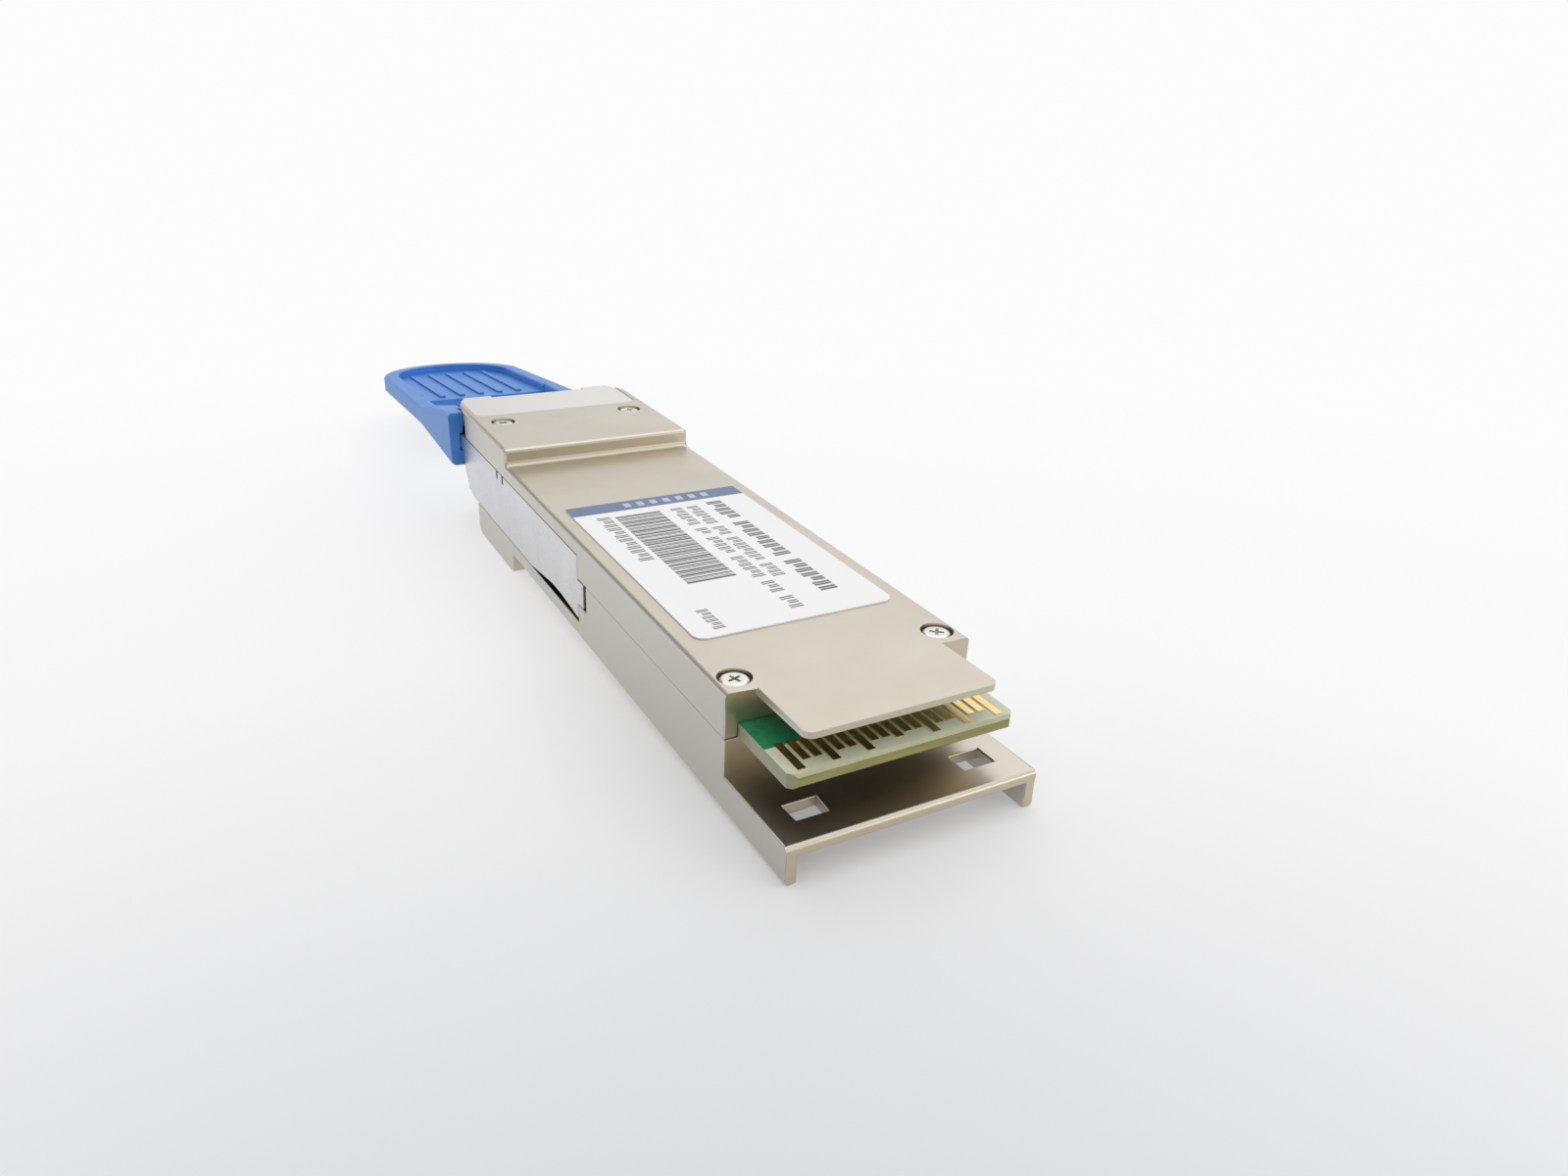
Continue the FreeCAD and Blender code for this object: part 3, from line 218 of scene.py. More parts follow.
def rounded_copy(node, name, edge_round, segments=2, sharp=35):
    """A copy of a solid with its triangles joined into whole faces and its sharp edges rounded."""
    piece = bpy.data.objects.new(name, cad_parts[node].data.copy())
    scene.collection.objects.link(piece)
    select_only(piece)
    bpy.ops.mesh.customdata_custom_splitnormals_clear()
    bpy.ops.object.mode_set(mode="EDIT")
    bpy.ops.mesh.select_all(action="SELECT")
    bpy.ops.mesh.remove_doubles(threshold=JOIN_REACH * MM)
    bpy.ops.mesh.dissolve_limited(angle_limit=math.radians(FLAT_ANGLE))
    bpy.ops.mesh.select_mode(type="EDGE")
    bpy.ops.mesh.select_all(action="DESELECT")
    bpy.ops.object.mode_set(mode="OBJECT")
    pick_edges(piece.data, edge_round, sharp)
    bpy.ops.object.mode_set(mode="EDIT")
    bpy.ops.transform.edge_bevelweight(value=1.0)
    bpy.ops.mesh.select_mode(type="FACE")
    bpy.ops.object.mode_set(mode="OBJECT")
    rounds = piece.modifiers.new("rounds", "BEVEL")
    rounds.width = edge_round * MM
    rounds.segments = segments
    rounds.limit_method = "WEIGHT"
    rounds.use_clamp_overlap = False
    bpy.ops.object.modifier_apply(modifier="rounds")
    bpy.ops.object.shade_smooth_by_angle(angle=math.radians(sharp))
    flats = piece.modifiers.new("flats", "WEIGHTED_NORMAL")
    flats.keep_sharp = True
    bpy.ops.object.modifier_apply(modifier="flats")
    return piece


def coat(piece, material):
    """Give a piece one finish all over."""
    piece.data.materials.clear()
    piece.data.materials.append(material)


def dress(piece, material, body, slot, *replaced):
    """Give a piece its finish, attach it to what it moves with and hide the solids it stands for."""
    coat(piece, material)
    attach(piece, body)
    if replaced:
        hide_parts(*replaced)


plated_casting = cast_metal("plated_casting")
lower_shell = rounded_copy("base_housing", "lower_shell", CAST_EDGE_ROUND)
dress(lower_shell, plated_casting, "module", "plated_casting", "base_housing")

# Circuit board.
# Glass-epoxy laminate, bare and pale near the card edge and covered by green solder mask behind it.
# It is clamped between the two shells, and its end stands out as the card edge.
MASK_START = 4.75
BOARD_MIDDLE = 5.75
MASK_GREEN = (0.012, 0.280, 0.110, 1.0)
MASK_DEEP = (0.008, 0.180, 0.075, 1.0)
# Painted shade: near-black tone for the board's underside, which lies in shade above the plate.
UNDERSIDE_PAINTED_SHADE = (0.020, 0.032, 0.014, 1.0)
LAMINATE_PALE = (0.60, 0.62, 0.45, 1.0)
LAMINATE_WEAVE = (0.66, 0.68, 0.52, 1.0)
LAMINATE_FRONT = (0.23, 0.215, 0.06, 1.0)
LAMINATE_LAYER = (0.32, 0.29, 0.09, 1.0)
# Painted highlight: paler tone for the board's side edges, as if they catch the light.
LAMINATE_SIDE_PAINTED_HIGHLIGHT = (0.34, 0.345, 0.24, 1.0)


def paint(node, material):
    """Give a solid that is shown as it is another finish."""
    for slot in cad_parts[node].material_slots:
        slot.material = material


board = finish("board_laminate", LAMINATE_PALE, 0.42)
weave = ranged(board, grain(board, 2.5), 0.0, 1.0)
mask_tone = mixed(board, weave, MASK_DEEP, MASK_GREEN)
pale_tone = mixed(board, weave, LAMINATE_PALE, LAMINATE_WEAVE)
underside = combined(board, "SUBTRACT", 1.0, beyond(board, axis_value(board, "Z"), BOARD_MIDDLE, 0.1))
behind = beyond(board, axis_value(board, "Y"), MASK_START, 0.05)
mask_part = combined(board, "MAXIMUM", behind, underside)
face_tone = mixed(board, mask_part, pale_tone, mask_tone)
# Painted shade: the whole underside of the board is darkened to near black.
face_tone = mixed(board, underside, face_tone, UNDERSIDE_PAINTED_SHADE)
layers = ranged(board, grain(board, 9.0, stretch=(0.05, 0.05, 1)), 0.0, 1.0)
front_tone = mixed(board, layers, LAMINATE_FRONT, LAMINATE_LAYER)
# Painted highlight: faces looking sideways get the paler side tone instead of the front edge's layered tone.
edge_tone = mixed(board, facing(board, "X"), front_tone, LAMINATE_SIDE_PAINTED_HIGHLIGHT)
feed(board, "Base Color", mixed(board, facing(board, "Z"), edge_tone, face_tone))
feed(board, "Roughness", ranged(board, mask_part, 0.5, 0.28, 0.0, 1.0))
relief(board, grain(board, 6.0), 0.006, 0.5)
paint("main_board", board)

# Card-edge contacts.
# Hard gold over copper, etched on both faces of the board and ground flush at their tips.
# The grinding and each plugging leave fine marks along the pads.
CONTACT_GOLD = (0.78, 0.56, 0.22, 1.0)
CONTACT_LIGHT = (0.88, 0.68, 0.34, 1.0)
gold = finish("contact_gold", CONTACT_GOLD, 0.22, metallic=1.0)
feed(gold, "Base Color", mixed(gold, grain(gold, 1.5), CONTACT_GOLD, CONTACT_LIGHT))
scratches = grain(gold, 14.0, stretch=(1, 0.05, 1))
feed(gold, "Roughness", ranged(gold, scratches, 0.14, 0.30))
relief(gold, scratches, 0.003, 0.6)
for row in ("upper_contacts", "lower_contacts"):
    paint(row, gold)

# Chips and power parts on the board.
# Moulded epoxy packages, pressed ferrite inductors and fired ceramic capacitors with tinned ends.
# All of them are soldered to the board in one pass.
EPOXY_BLACK = (0.012, 0.012, 0.014, 1.0)
EPOXY_GREY = (0.03, 0.03, 0.034, 1.0)
FERRITE_DARK = (0.055, 0.055, 0.06, 1.0)
FERRITE_GREY = (0.1, 0.1, 0.11, 1.0)
CERAMIC_TAN = (0.32, 0.22, 0.13, 1.0)
CERAMIC_PALE = (0.4, 0.29, 0.18, 1.0)
TIN = (0.62, 0.62, 0.63, 1.0)
CAPACITOR_START = 20.3
CAPACITOR_PITCH = 1.6
CAPACITOR_LENGTH = 1.0
CAPACITOR_END = 0.25


def moulded(name, dark, light, smooth, rough, per_mm, depth_mm):
    """Moulded or pressed material with a fine even grain."""
    made = finish(name, light, smooth)
    speckle = grain(made, per_mm)
    feed(made, "Base Color", mixed(made, speckle, dark, light))
    feed(made, "Roughness", ranged(made, speckle, smooth, rough))
    relief(made, speckle, depth_mm, 0.6)
    return made


chip_epoxy = moulded("chip_epoxy", EPOXY_BLACK, EPOXY_GREY, 0.45, 0.65, 9.0, 0.01)
ferrite = moulded("inductor_ferrite", FERRITE_DARK, FERRITE_GREY, 0.6, 0.85, 7.0, 0.02)
for chip in ("transmit_chip", "receive_chip", "controller_chip"):
    paint(chip, chip_epoxy)
paint("power_inductors", ferrite)
ceramic = finish("capacitor_ceramic", CERAMIC_TAN, 0.4)
along = combined(ceramic, "SUBTRACT", axis_value(ceramic, "Y"), CAPACITOR_START * MM)
place = combined(ceramic, "FLOORED_MODULO", along, CAPACITOR_PITCH * MM)
offset = combined(ceramic, "ABSOLUTE", combined(ceramic, "SUBTRACT", place, CAPACITOR_LENGTH / 2 * MM))
tinned = beyond(ceramic, offset, CAPACITOR_LENGTH / 2 - CAPACITOR_END, 0.02)
body_tone = mixed(ceramic, grain(ceramic, 8.0), CERAMIC_TAN, CERAMIC_PALE)
feed(ceramic, "Base Color", mixed(ceramic, tinned, body_tone, TIN))
feed(ceramic, "Metallic", tinned)
relief(ceramic, grain(ceramic, 12.0), 0.01, 0.5)
paint("board_capacitors", ceramic)

# Soft thermal pads.
# Gap filler of silicone with mineral powder, cut from sheet and pressed between chips, boxes and shells.
PAD_DARK = (0.20, 0.24, 0.28, 1.0)
PAD_LIGHT = (0.30, 0.34, 0.38, 1.0)
thermal = moulded("thermal_rubber", PAD_DARK, PAD_LIGHT, 0.6, 0.8, 5.0, 0.02)
for pad in ("chip_thermal_pad", "optics_thermal_pads"):
    paint(pad, thermal)

# Optical boxes, flexible circuits, barrels and cradle.
# Gold-flashed sealed boxes joined to the board by amber film circuits; turned steel barrels take the
# ferrules of the plugs and are held at their necks by a machined cradle.
BOX_DARK = (0.62, 0.46, 0.2, 1.0)
BOX_LIGHT = (0.74, 0.58, 0.3, 1.0)
FILM_AMBER = (0.42, 0.17, 0.02, 1.0)
FILM_TRACK = (0.55, 0.25, 0.04, 1.0)
BARREL_STEEL = (0.56, 0.56, 0.55, 1.0)
CRADLE_DARK = (0.5, 0.5, 0.5, 1.0)
CRADLE_LIGHT = (0.6, 0.6, 0.6, 1.0)


def plated_metal(name, dark, light, smooth, rough, streak):
    """Satin plating: cloudy tone, fine grain and faint streaks across the part from polishing."""
    metal = finish(name, light, smooth, metallic=1.0)
    clouds = ranged(metal, grain(metal, 0.22), 0.0, 1.0)
    feed(metal, "Base Color", mixed(metal, clouds, dark, light))
    streaks = grain(metal, 7.0, stretch=(streak, 1, 1))
    feed(metal, "Roughness", ranged(metal, streaks, smooth, rough))
    relief(metal, grain(metal, 11.0, stretch=(4 * streak, 1, 1)), 0.004, 0.5)
    return metal


package = plated_metal("package_alloy", BOX_DARK, BOX_LIGHT, 0.22, 0.36, 0.2)
for box in ("transmitter_package", "receiver_package"):
    paint(box, package)
film = finish("flex_film", FILM_AMBER, 0.3)
tracks = ranged(film, grain(film, 2.2, stretch=(1, 0.02, 0.02), detail=0.0), 0.0, 1.0, 0.48, 0.52)
feed(film, "Base Color", mixed(film, tracks, FILM_AMBER, FILM_TRACK))
relief(film, tracks, 0.01, 0.6)
for flex in ("transmitter_flex", "receiver_flex"):
    paint(flex, film)
turned_steel = finish("barrel_steel", BARREL_STEEL, 0.25, metallic=1.0)
rings = grain(turned_steel, 12.0, stretch=(0.02, 1, 0.02))
feed(turned_steel, "Roughness", ranged(turned_steel, rings, 0.16, 0.34))
relief(turned_steel, rings, 0.004, 0.6)
for barrel in ("transmitter_barrel", "receiver_barrel"):
    paint(barrel, turned_steel)
milled = plated_metal("cradle_alloy", CRADLE_DARK, CRADLE_LIGHT, 0.28, 0.45, 0.1)
paint("barrel_cradle", milled)

# Fibre receptacle.
# Matt black moulding with two square ports, set in the front of the lower shell and held by the upper one.
PORT_BLACK = (0.010, 0.010, 0.012, 1.0)
PORT_GREY = (0.022, 0.022, 0.025, 1.0)
PORT_EDGE_ROUND = 0.12
port_polymer = moulded("port_polymer", PORT_BLACK, PORT_GREY, 0.38, 0.55, 10.0, 0.01)
port_block = rounded_copy("fibre_receptacle", "port_block", PORT_EDGE_ROUND)
dress(port_block, port_polymer, "module", "port_polymer", "fibre_receptacle")

# Return springs.
# Drawn stainless wire, coiled between the lug of each release arm and the end of its pocket.
# In the real module the lug presses the coil together as the arm slides, while its other end stays with the
# shells; here the coil is not moved with the arm.
WIRE_EDGE_ROUND = 0.04
WIRE_DARK = (0.42, 0.42, 0.42, 1.0)
WIRE_LIGHT = (0.5, 0.5, 0.5, 1.0)
spring_steel = plated_metal("spring_steel", WIRE_DARK, WIRE_LIGHT, 0.22, 0.36, 0.5)
for hand in ("left", "right"):
    coil = rounded_copy(f"{hand}_return_spring", f"{hand}_coil", WIRE_EDGE_ROUND)
    coat(coil, spring_steel)
    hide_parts(f"{hand}_return_spring")
    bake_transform(coil)

# Release arms.
# Stainless sheet, blanked and folded, that slides in the side recesses; its cut edges are barely broken.
ARM_DARK = (0.63, 0.63, 0.64, 1.0)
ARM_LIGHT = (0.70, 0.70, 0.71, 1.0)
ARM_EDGE_ROUND = 0.05
SLITS = {"x": 8.95, "y": (54.6, 56.3), "low": 6.45, "high": 7.4, "width": 0.42, "depth": 1.2}


def cut_out(piece, cutter):
    """Take the shape of a cutter out of a piece, and the cutter away."""
    select_only(piece)
    cut = piece.modifiers.new("cut", "BOOLEAN")
    cut.object = cutter
    cut.solver = "EXACT"
    bpy.ops.object.modifier_apply(modifier="cut")
    bpy.data.objects.remove(cutter)


arm_steel = plated_metal("arm_steel", ARM_DARK, ARM_LIGHT, 0.24, 0.38, 0.05)
for hand, side in (("left", -1), ("right", 1)):
    arm = rounded_copy(f"{hand}_release_arm", f"{hand}_slide_arm", ARM_EDGE_ROUND)
    bpy.ops.object.mode_set(mode="EDIT")
    bpy.ops.mesh.select_all(action="SELECT")
    bpy.ops.mesh.quads_convert_to_tris()
    bpy.ops.object.mode_set(mode="OBJECT")
    for along in SLITS["y"]:
        bpy.ops.object.select_all(action="DESELECT")
        bpy.ops.mesh.primitive_cube_add(
            size=1,
            location=(SLITS["x"] * side * MM, along * MM, (SLITS["low"] + SLITS["high"]) / 2 * MM),
            scale=(SLITS["depth"] * MM, SLITS["width"] * MM, (SLITS["high"] - SLITS["low"]) * MM),
        )
        cut_out(arm, bpy.context.active_object)
    dress(arm, arm_steel, "slider", "arm_steel", f"{hand}_release_arm")

# Pull tab.
# Blue satin polymer moulded round the front ends of the release arms, with a ribbed tray for the finger.
TAB_BLUE = (0.048, 0.22, 0.63, 1.0)
TAB_LIGHT = (0.06, 0.25, 0.68, 1.0)
TAB_EDGE_ROUND = 0.22
tab_polymer = finish("tab_polymer", TAB_BLUE, 0.42)
clouds = ranged(tab_polymer, grain(tab_polymer, 0.3), 0.0, 1.0)
feed(tab_polymer, "Base Color", mixed(tab_polymer, clouds, TAB_BLUE, TAB_LIGHT))
skin = grain(tab_polymer, 8.0)
feed(tab_polymer, "Roughness", ranged(tab_polymer, skin, 0.36, 0.5))
relief(tab_polymer, skin, 0.012, 0.5)
tab = rounded_copy("pull_tab", "finger_tab", TAB_EDGE_ROUND, segments=3)
dress(tab, tab_polymer, "slider", "tab_polymer", "pull_tab")

# Upper shell.
# The second plated casting, with the thin tongue over the card edge and the raised head at the ports.
# It closes on the lower shell along a straight seam and is held down by a screw near each corner.
upper_shell = rounded_copy("top_cover", "upper_shell", CAST_EDGE_ROUND)
dress(upper_shell, plated_casting, "module", "plated_casting", "top_cover")

# Cover screws.
# Four small pan-head screws of plated steel with a cross recess, sunk in the counterbores of the cover.
SCREW_HEAD_RADIUS = 1.02
SCREW_HEAD_HEIGHT = 0.55
SCREW_HEAD_ROUND = 0.34
SCREW_SHANK_RADIUS = 0.7
SCREW_SHANK_FOOT = 2.25
SCREW_TIP_ROUND = 0.2
SCREW_DARK = (0.68, 0.66, 0.62, 1.0)
SCREW_LIGHT = (0.78, 0.76, 0.72, 1.0)
CROSS_LENGTH = 1.3
CROSS_WIDTH = 0.3
CROSS_DEPTH = 0.34
CROSS_TAPER = 0.55
NEAR_SCREWS = {"x": 7.7, "y": 9.73, "seat": 7.85}
FAR_SCREWS = {"x": 6.6, "y": 62.35, "seat": 9.45}
CROSS_TURNS = (18, 52, 33, 5)


def deselect_mesh():
    """Leave nothing selected in the active piece's mesh."""
    bpy.ops.object.mode_set(mode="EDIT")
    bpy.ops.mesh.select_all(action="DESELECT")
    bpy.ops.object.mode_set(mode="OBJECT")


def screw(x, y, seat, turn):
    """One screw, standing on its seat, with its cross recess turned by an angle in degrees."""
    bpy.ops.object.select_all(action="DESELECT")
    bpy.ops.mesh.primitive_cylinder_add(
        vertices=48,
        radius=SCREW_HEAD_RADIUS * MM,
        depth=SCREW_HEAD_HEIGHT * MM,
        location=(x * MM, y * MM, (seat + SCREW_HEAD_HEIGHT / 2) * MM),
    )
    head = bpy.context.active_object
    bpy.ops.object.transform_apply(location=True, rotation=True, scale=True)
    top = (seat + SCREW_HEAD_HEIGHT) * MM
    foot = seat * MM
    deselect_mesh()
    for face in head.data.polygons:
        face.select = face.center.z > top - 0.01 * MM
    bpy.ops.object.mode_set(mode="EDIT")
    bpy.ops.mesh.bevel(offset=SCREW_HEAD_ROUND * MM, segments=5, profile=0.6, affect="EDGES")
    deselect_mesh()
    for face in head.data.polygons:
        face.select = face.normal.z < -0.9 and face.center.z < foot + 0.01 * MM
    bpy.ops.object.mode_set(mode="EDIT")
    bpy.ops.mesh.inset(thickness=(SCREW_HEAD_RADIUS - SCREW_SHANK_RADIUS) * MM)
    bpy.ops.mesh.extrude_region_move(TRANSFORM_OT_translate={"value": (0, 0, SCREW_SHANK_FOOT * MM - foot)})
    bpy.ops.mesh.bevel(offset=SCREW_TIP_ROUND * MM, segments=2, affect="EDGES")
    bpy.ops.object.mode_set(mode="OBJECT")
    for quarter in (0, 90):
        bpy.ops.object.select_all(action="DESELECT")
        bpy.ops.mesh.primitive_cube_add(
            size=1,
            location=(x * MM, y * MM, top),
            rotation=(0, 0, math.radians(turn + quarter)),
            scale=(CROSS_LENGTH * MM, CROSS_WIDTH * MM, 2 * CROSS_DEPTH * MM),
        )
        cutter = bpy.context.active_object
        deselect_mesh()
        for face in cutter.data.polygons:
            face.select = face.normal.z < -0.9
        bpy.ops.object.mode_set(mode="EDIT")
        bpy.ops.transform.resize(value=(CROSS_TAPER, CROSS_TAPER, 1), center_override=(x * MM, y * MM, top))
        bpy.ops.object.mode_set(mode="OBJECT")
        cut_out(head, cutter)
    return head


screws = []
for place in (NEAR_SCREWS, FAR_SCREWS):
    for side in (-1, 1):
        screws.append(screw(side * place["x"], place["y"], place["seat"], CROSS_TURNS[len(screws)]))
select_only(screws[0])
for other in screws[1:]:
    other.select_set(True)
bpy.ops.object.join()
screw_set = bpy.context.active_object
screw_set.name = "pan_head_screws"
bpy.ops.object.origin_set(type="ORIGIN_CURSOR")
bpy.ops.object.shade_smooth_by_angle(angle=math.radians(35))
screw_steel = plated_metal("screw_steel", SCREW_DARK, SCREW_LIGHT, 0.22, 0.34, 0.5)
dress(screw_set, screw_steel, "module", "screw_steel", "cover_screws")

# Label.
# A white polyester sticker on the flat top of the cover, held by its own adhesive.
# A slate band, bars and rows of plain marks are printed on it.
FILM_WHITE = (0.885, 0.885, 0.88, 1.0)
LABEL_TOP = 8.6
LABEL_HALF = 7.8
LABEL_END = 40.81
LABEL_FAR_CORNER = 0.12
INK_THICK = 0.006
BAND_START = 38.8
BAND_MARKS = {"count": 7, "left": -3.0, "pitch": 1.2, "width": 0.6, "start": 39.35, "end": 40.25}
BAR_FIELD = {"left": -4.65, "right": -0.7, "start": 23.2, "end": 37.55}
BAR_WIDTHS = (0.24, 0.08, 0.16, 0.08, 0.08, 0.24, 0.16, 0.08)
BAR_SPACES = (0.09, 0.16, 0.09, 0.10, 0.20)
MARK_ROWS = (
    {"left": 3.70, "right": 5.10, "start": 18.05, "end": 37.9, "words": (5, 9, 7), "weight": 0.30},
    {"left": 1.70, "right": 2.75, "start": 21.70, "end": 37.5, "words": (7, 3, 8, 4), "weight": 0.22},
    {"left": 0.25, "right": 1.30, "start": 16.40, "end": 37.6, "words": (6, 2, 5, 6, 3, 3), "weight": 0.22},
    {"left": -6.20, "right": -5.05, "start": 28.05, "end": 37.8, "words": (12,), "weight": 0.22},
    {"left": -6.10, "right": -5.20, "start": 15.70, "end": 18.95, "words": (6,), "weight": 0.22},
)
STROKES = (0.0, 0.4)
SHORT_STROKE = 0.25
label_film = finish("label_film", FILM_WHITE, 0.36)
feed(label_film, "Roughness", ranged(label_film, grain(label_film, 4.0), 0.3, 0.44))
relief(label_film, grain(label_film, 1.2), 0.006, 0.4)
paint("label", label_film)


def printed_fields(name, fields, level=0):
    """Flat fields of ink on the label or on other ink, each given by its left, right, start and end."""
    sheets = []
    height = LABEL_TOP + level * INK_THICK
    for left, right, start, end in fields:
        bpy.ops.object.select_all(action="DESELECT")
        middle = ((left + right) / 2 * MM, (start + end) / 2 * MM, height * MM)
        bpy.ops.mesh.primitive_plane_add(size=1, location=middle)
        sheets.append(bpy.context.active_object)
        sheets[-1].scale = ((right - left) * MM, (end - start) * MM, 1)
    for sheet in sheets:
        sheet.select_set(True)
    bpy.context.view_layer.objects.active = sheets[0]
    bpy.ops.object.transform_apply(location=True, rotation=True, scale=True)
    bpy.ops.object.join()
    piece = bpy.context.active_object
    piece.name = name
    bpy.ops.object.mode_set(mode="EDIT")
    bpy.ops.mesh.select_all(action="SELECT")
    bpy.ops.mesh.extrude_region_move(TRANSFORM_OT_translate={"value": (0, 0, INK_THICK * MM)})
    bpy.ops.mesh.select_all(action="SELECT")
    bpy.ops.mesh.normals_make_consistent(inside=False)
    bpy.ops.object.mode_set(mode="OBJECT")
    return piece


bars = []
mark = BAR_FIELD["end"]
number = 0
while True:
    width = BAR_WIDTHS[number % len(BAR_WIDTHS)]
    if mark - width < BAR_FIELD["start"]:
        break
    bars.append((BAR_FIELD["left"], BAR_FIELD["right"], mark - width, mark))
    mark -= width + BAR_SPACES[number % len(BAR_SPACES)]
    number += 1
marks = []
for row in MARK_ROWS:
    count = sum(row["words"]) + len(row["words"]) - 1
    pitch = (row["end"] - row["start"]) / count
    along = row["end"]
    for letters in row["words"]:
        for letter in range(letters):
            inset = (row["right"] - row["left"]) * (SHORT_STROKE if letter % 3 == 1 else 0.0)
            for offset in STROKES:
                stroke = along - pitch * offset
                marks.append((row["left"] + inset, row["right"], stroke - pitch * row["weight"], stroke))
            along -= pitch
        along -= pitch
band_marks = []
for number in range(BAND_MARKS["count"]):
    left = BAND_MARKS["left"] + number * BAND_MARKS["pitch"]
    band_marks.append((left, left + BAND_MARKS["width"], BAND_MARKS["start"], BAND_MARKS["end"]))


def printed(name, dark, light, per_mm=6.0):
    """Thin ink with a slight unevenness."""
    return moulded(name, dark, light, 0.4, 0.55, per_mm, 0.002)


ink_black = printed("print_black", (0.05, 0.05, 0.052, 1.0), (0.09, 0.09, 0.092, 1.0))
ink_pale = printed("print_pale", (0.45, 0.50, 0.60, 1.0), (0.55, 0.60, 0.68, 1.0))
ink_grey = printed("print_grey", (0.10, 0.10, 0.10, 1.0), (0.18, 0.18, 0.18, 1.0))
ink_slate = printed("print_slate", (0.12, 0.17, 0.30, 1.0), (0.16, 0.21, 0.35, 1.0), per_mm=3.0)
for name, ink, fields in (
    ("label_bars", ink_black, bars),
    ("label_marks", ink_grey, marks),
    ("label_band", ink_slate, [(-LABEL_HALF, LABEL_HALF, BAND_START, LABEL_END)]),
):
    dress(printed_fields(name, fields), ink, "module", "label_film")
dress(printed_fields("label_band_marks", band_marks, level=1), ink_pale, "module", "label_film")
select_only(bpy.data.objects["label_band"])
deselect_mesh()
band = bpy.data.objects["label_band"].data
for edge in band.edges:
    ends = [band.vertices[index].co for index in edge.vertices]
    upright = abs(ends[0].z - ends[1].z) > INK_THICK / 2 * MM
    edge.select = upright and ends[0].y > (LABEL_END - 0.01) * MM
bpy.ops.object.mode_set(mode="EDIT")
bpy.ops.mesh.bevel(offset=LABEL_FAR_CORNER * MM, segments=6, affect="EDGES")
bpy.ops.object.mode_set(mode="OBJECT")

# Floor.
# A white seamless paper sheet with a painted soft shadow of the camera: greyer close to the camera and white
# further off.
# It is tilted to touch what the module rests on: its belly step and the legs of the connector plate.
REST_DROP = 1.65
REST_REACH = 52.85
FLOOR_HALF = 4.0
CAMERA_FOOT = (-36.0, -44.0)
PAPER_PAINTED_SHADOW = (0.68, 0.69, 0.71, 1.0)
PAPER_FAR = (0.92, 0.92, 0.92, 1.0)
BACKDROP_WHITE = (0.975, 0.975, 0.975, 1.0)
SHADE_REACH = 54.0
SHADE_FADE = 60.0
SHEET_GLOW = {"share": 0.45, "start": 24.0, "stop": 80.0}
WALL_GLOW = {"share": 0.55, "start": 75.0, "stop": 190.0}
FLOOR_GAP = 0.02
bpy.ops.object.select_all(action="DESELECT")
bpy.ops.mesh.primitive_plane_add(size=2 * FLOOR_HALF)
floor = bpy.context.active_object
floor.name = "floor"
floor.rotation_euler = (-math.atan2(REST_DROP, REST_REACH), 0, 0)
floor.location = (0, 0, -FLOOR_GAP * MM)
paper = finish("floor_paper", PAPER_FAR, 0.8)
ring = {0: position(paper), 1: (CAMERA_FOOT[0] * MM, CAMERA_FOOT[1] * MM, 0)}
reach = add_node(paper, "ShaderNodeVectorMath", ring, operation="DISTANCE").outputs["Value"]
# Painted shadow of the camera: within a ring round the camera's foot the paper is greyer and glows less
# white.
far_part = beyond(paper, reach, SHADE_REACH, SHADE_FADE)
feed(paper, "Base Color", mixed(paper, far_part, PAPER_PAINTED_SHADOW, PAPER_FAR))
glows = []
for part in (SHEET_GLOW, WALL_GLOW):
    glows.append(ranged(paper, reach, 0.0, part["share"], part["start"] * MM, part["stop"] * MM))
whiteness = combined(paper, "ADD", *glows)
rays = add_node(paper, "ShaderNodeLightPath", {}).outputs
seen = combined(paper, "ADD", rays["Is Camera Ray"], rays["Is Glossy Ray"])
seen = combined(paper, "ADD", seen, rays["Is Transmission Ray"])
glow = add_node(paper, "ShaderNodeEmission", {"Color": BACKDROP_WHITE, "Strength": 1.0})
surface = paper.node_tree.nodes["Principled BSDF"].outputs["BSDF"]
shares = {"Fac": combined(paper, "MULTIPLY", whiteness, seen), 1: surface, 2: glow.outputs["Emission"]}
paper_look = add_node(paper, "ShaderNodeMixShader", shares).outputs["Shader"]
paper.node_tree.links.new(paper_look, paper.node_tree.nodes["Material Output"].inputs["Surface"])
floor.data.materials.append(paper)

# Studio light.
# A large softbox overhead and two smaller ones to the right, behind the module and in front of it.
# The surroundings are white near the floor, grey above it, and darker where a black flag stands on the left.
SOFTBOXES = (
    {"name": "overhead_softbox", "place": (0.0, 0.05, 0.75), "across": 1.5, "high": 1.5, "radiance": 0.92},
    {"name": "rear_softbox", "place": (0.36, 0.53, 0.44), "across": 0.6, "high": 0.4, "radiance": 0.60},
    {"name": "front_softbox", "place": (0.57, -0.61, 0.30), "across": 0.46, "high": 0.35, "radiance": 1.85},
)
LIGHT_AIM = (0, 40, 0)
SURROUND = {"low": 0.975, "high": 0.42, "start": 0.18, "stop": 0.5}
FLAG = {"low": 0.45, "high": 1.0, "start": -0.55, "stop": 0.15}
FLAG_FOOT = {"low": 1.0, "high": 0.0, "start": 0.18, "stop": 0.32}


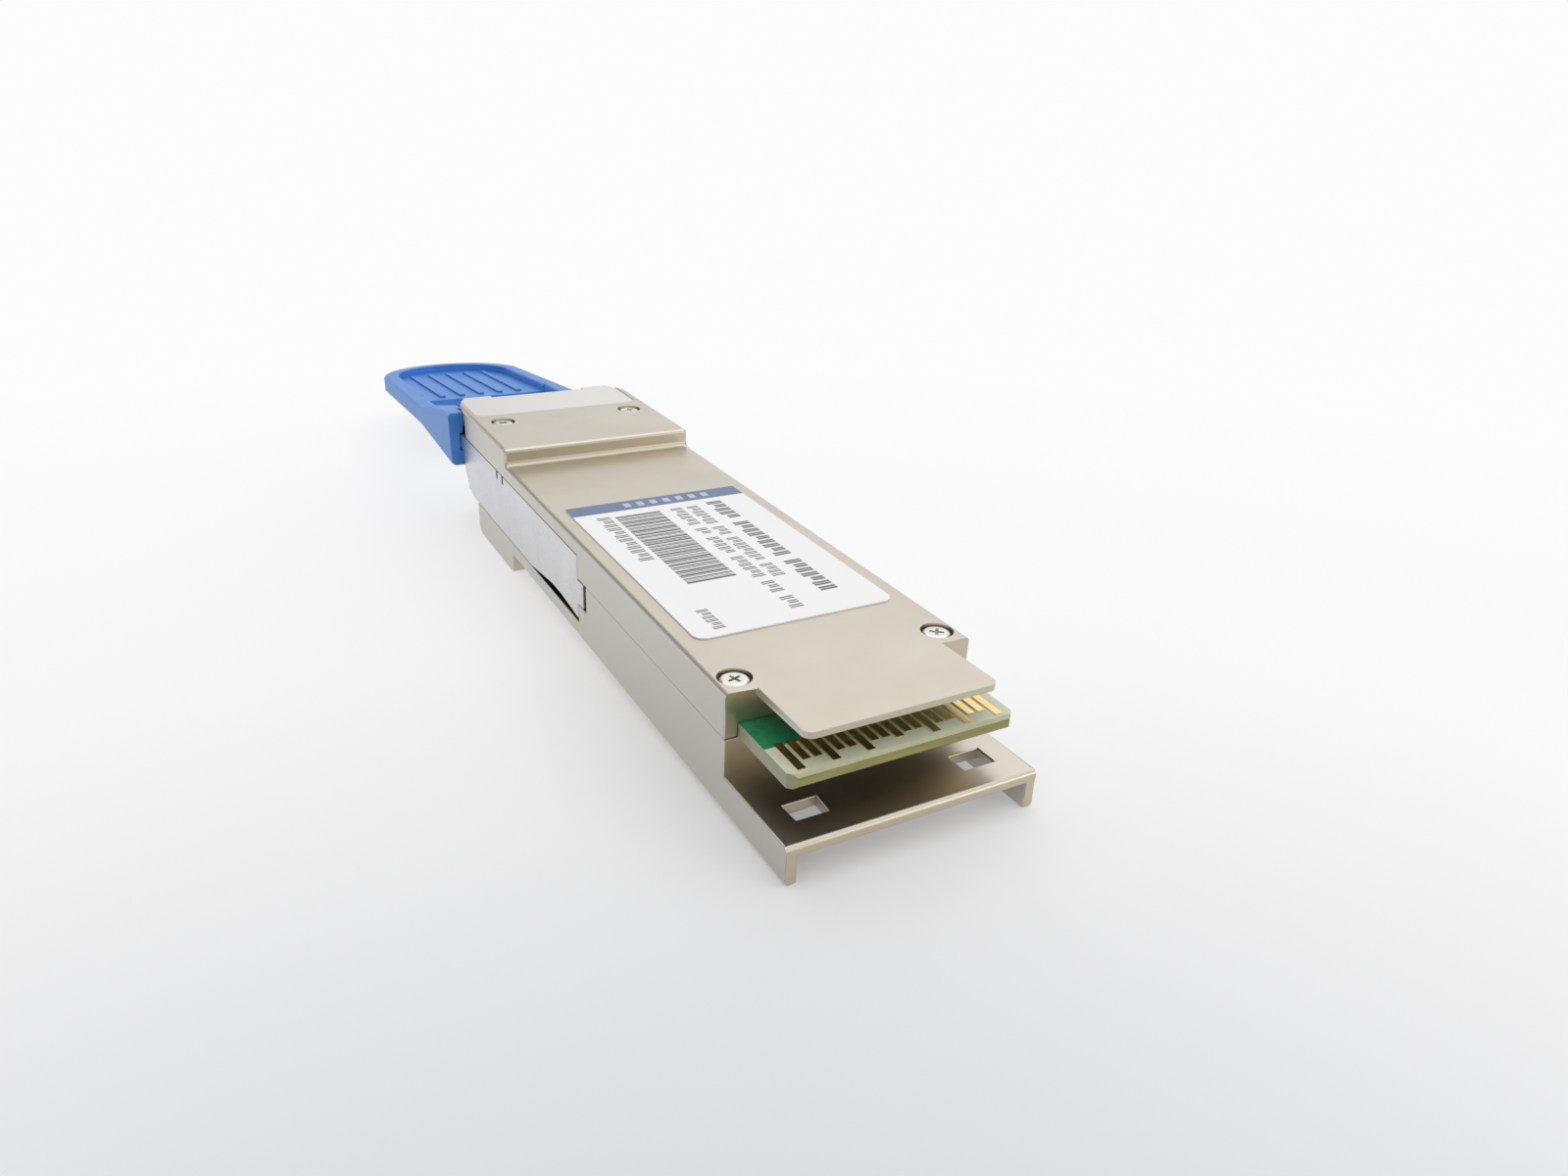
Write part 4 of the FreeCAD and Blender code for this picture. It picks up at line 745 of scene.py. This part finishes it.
def softbox(name, place, across, high, radiance):
    """A rectangular light of a given brightness that looks at the middle of the module."""
    lamp = bpy.data.lights.new(name, "AREA")
    lamp.shape = "RECTANGLE"
    lamp.size = across
    lamp.size_y = high
    lamp.energy = radiance * math.pi * across * high
    holder = bpy.data.objects.new(name, lamp)
    scene.collection.objects.link(holder)
    holder.location = place
    towards = Vector(LIGHT_AIM) * MM - Vector(place)
    holder.rotation_euler = towards.to_track_quat("-Z", "Y").to_euler()
    holder.visible_camera = False


for lamp in SOFTBOXES:
    softbox(**lamp)
world = bpy.data.worlds.new("studio")
scene.world = world
world.use_nodes = True
direction = add_node(world, "ShaderNodeTexCoord", {}).outputs["Generated"]
towards = add_node(world, "ShaderNodeSeparateXYZ", {"Vector": direction}).outputs
surround = ranged(world, towards["Z"], **SURROUND)
flag = ranged(world, towards["X"], **FLAG)
flag_foot = ranged(world, towards["Z"], **FLAG_FOOT)
shaded = combined(world, "MULTIPLY", surround, combined(world, "MAXIMUM", flag, flag_foot))
world.node_tree.links.new(shaded, world.node_tree.nodes["Background"].inputs["Color"])

# Camera.
# It stands low at the card-edge end, left of the module, at the angle and distance of the photograph.
CAMERA_PLACE = (-35.89, -44.14, 42.59)
CAMERA_AZIMUTH = math.radians(-30.25)
CAMERA_ELEVATION = math.radians(24.67)
CAMERA_ROLL = math.radians(2.71)
IMAGE_WIDTH = 1600
FOCAL_PIXELS = 1148.2
SENSOR_WIDTH = 36.0
back = Vector((
    math.sin(CAMERA_AZIMUTH) * math.cos(CAMERA_ELEVATION),
    -math.cos(CAMERA_AZIMUTH) * math.cos(CAMERA_ELEVATION),
    math.sin(CAMERA_ELEVATION),
))
level = (-back).cross(Vector((0, 0, 1))).normalized()
upward = level.cross(-back)
right = math.cos(CAMERA_ROLL) * level + math.sin(CAMERA_ROLL) * upward
top = -math.sin(CAMERA_ROLL) * level + math.cos(CAMERA_ROLL) * upward
lens = bpy.data.cameras.new("camera")
lens.sensor_width = SENSOR_WIDTH
lens.lens = FOCAL_PIXELS / IMAGE_WIDTH * SENSOR_WIDTH
lens.clip_start = 0.001
camera = bpy.data.objects.new("camera", lens)
scene.collection.objects.link(camera)
turn = Matrix((right, top, back)).transposed().to_4x4()
camera.matrix_world = Matrix.Translation(Vector(CAMERA_PLACE) * MM) @ turn
scene.camera = camera
scene.view_settings.view_transform = "Standard"
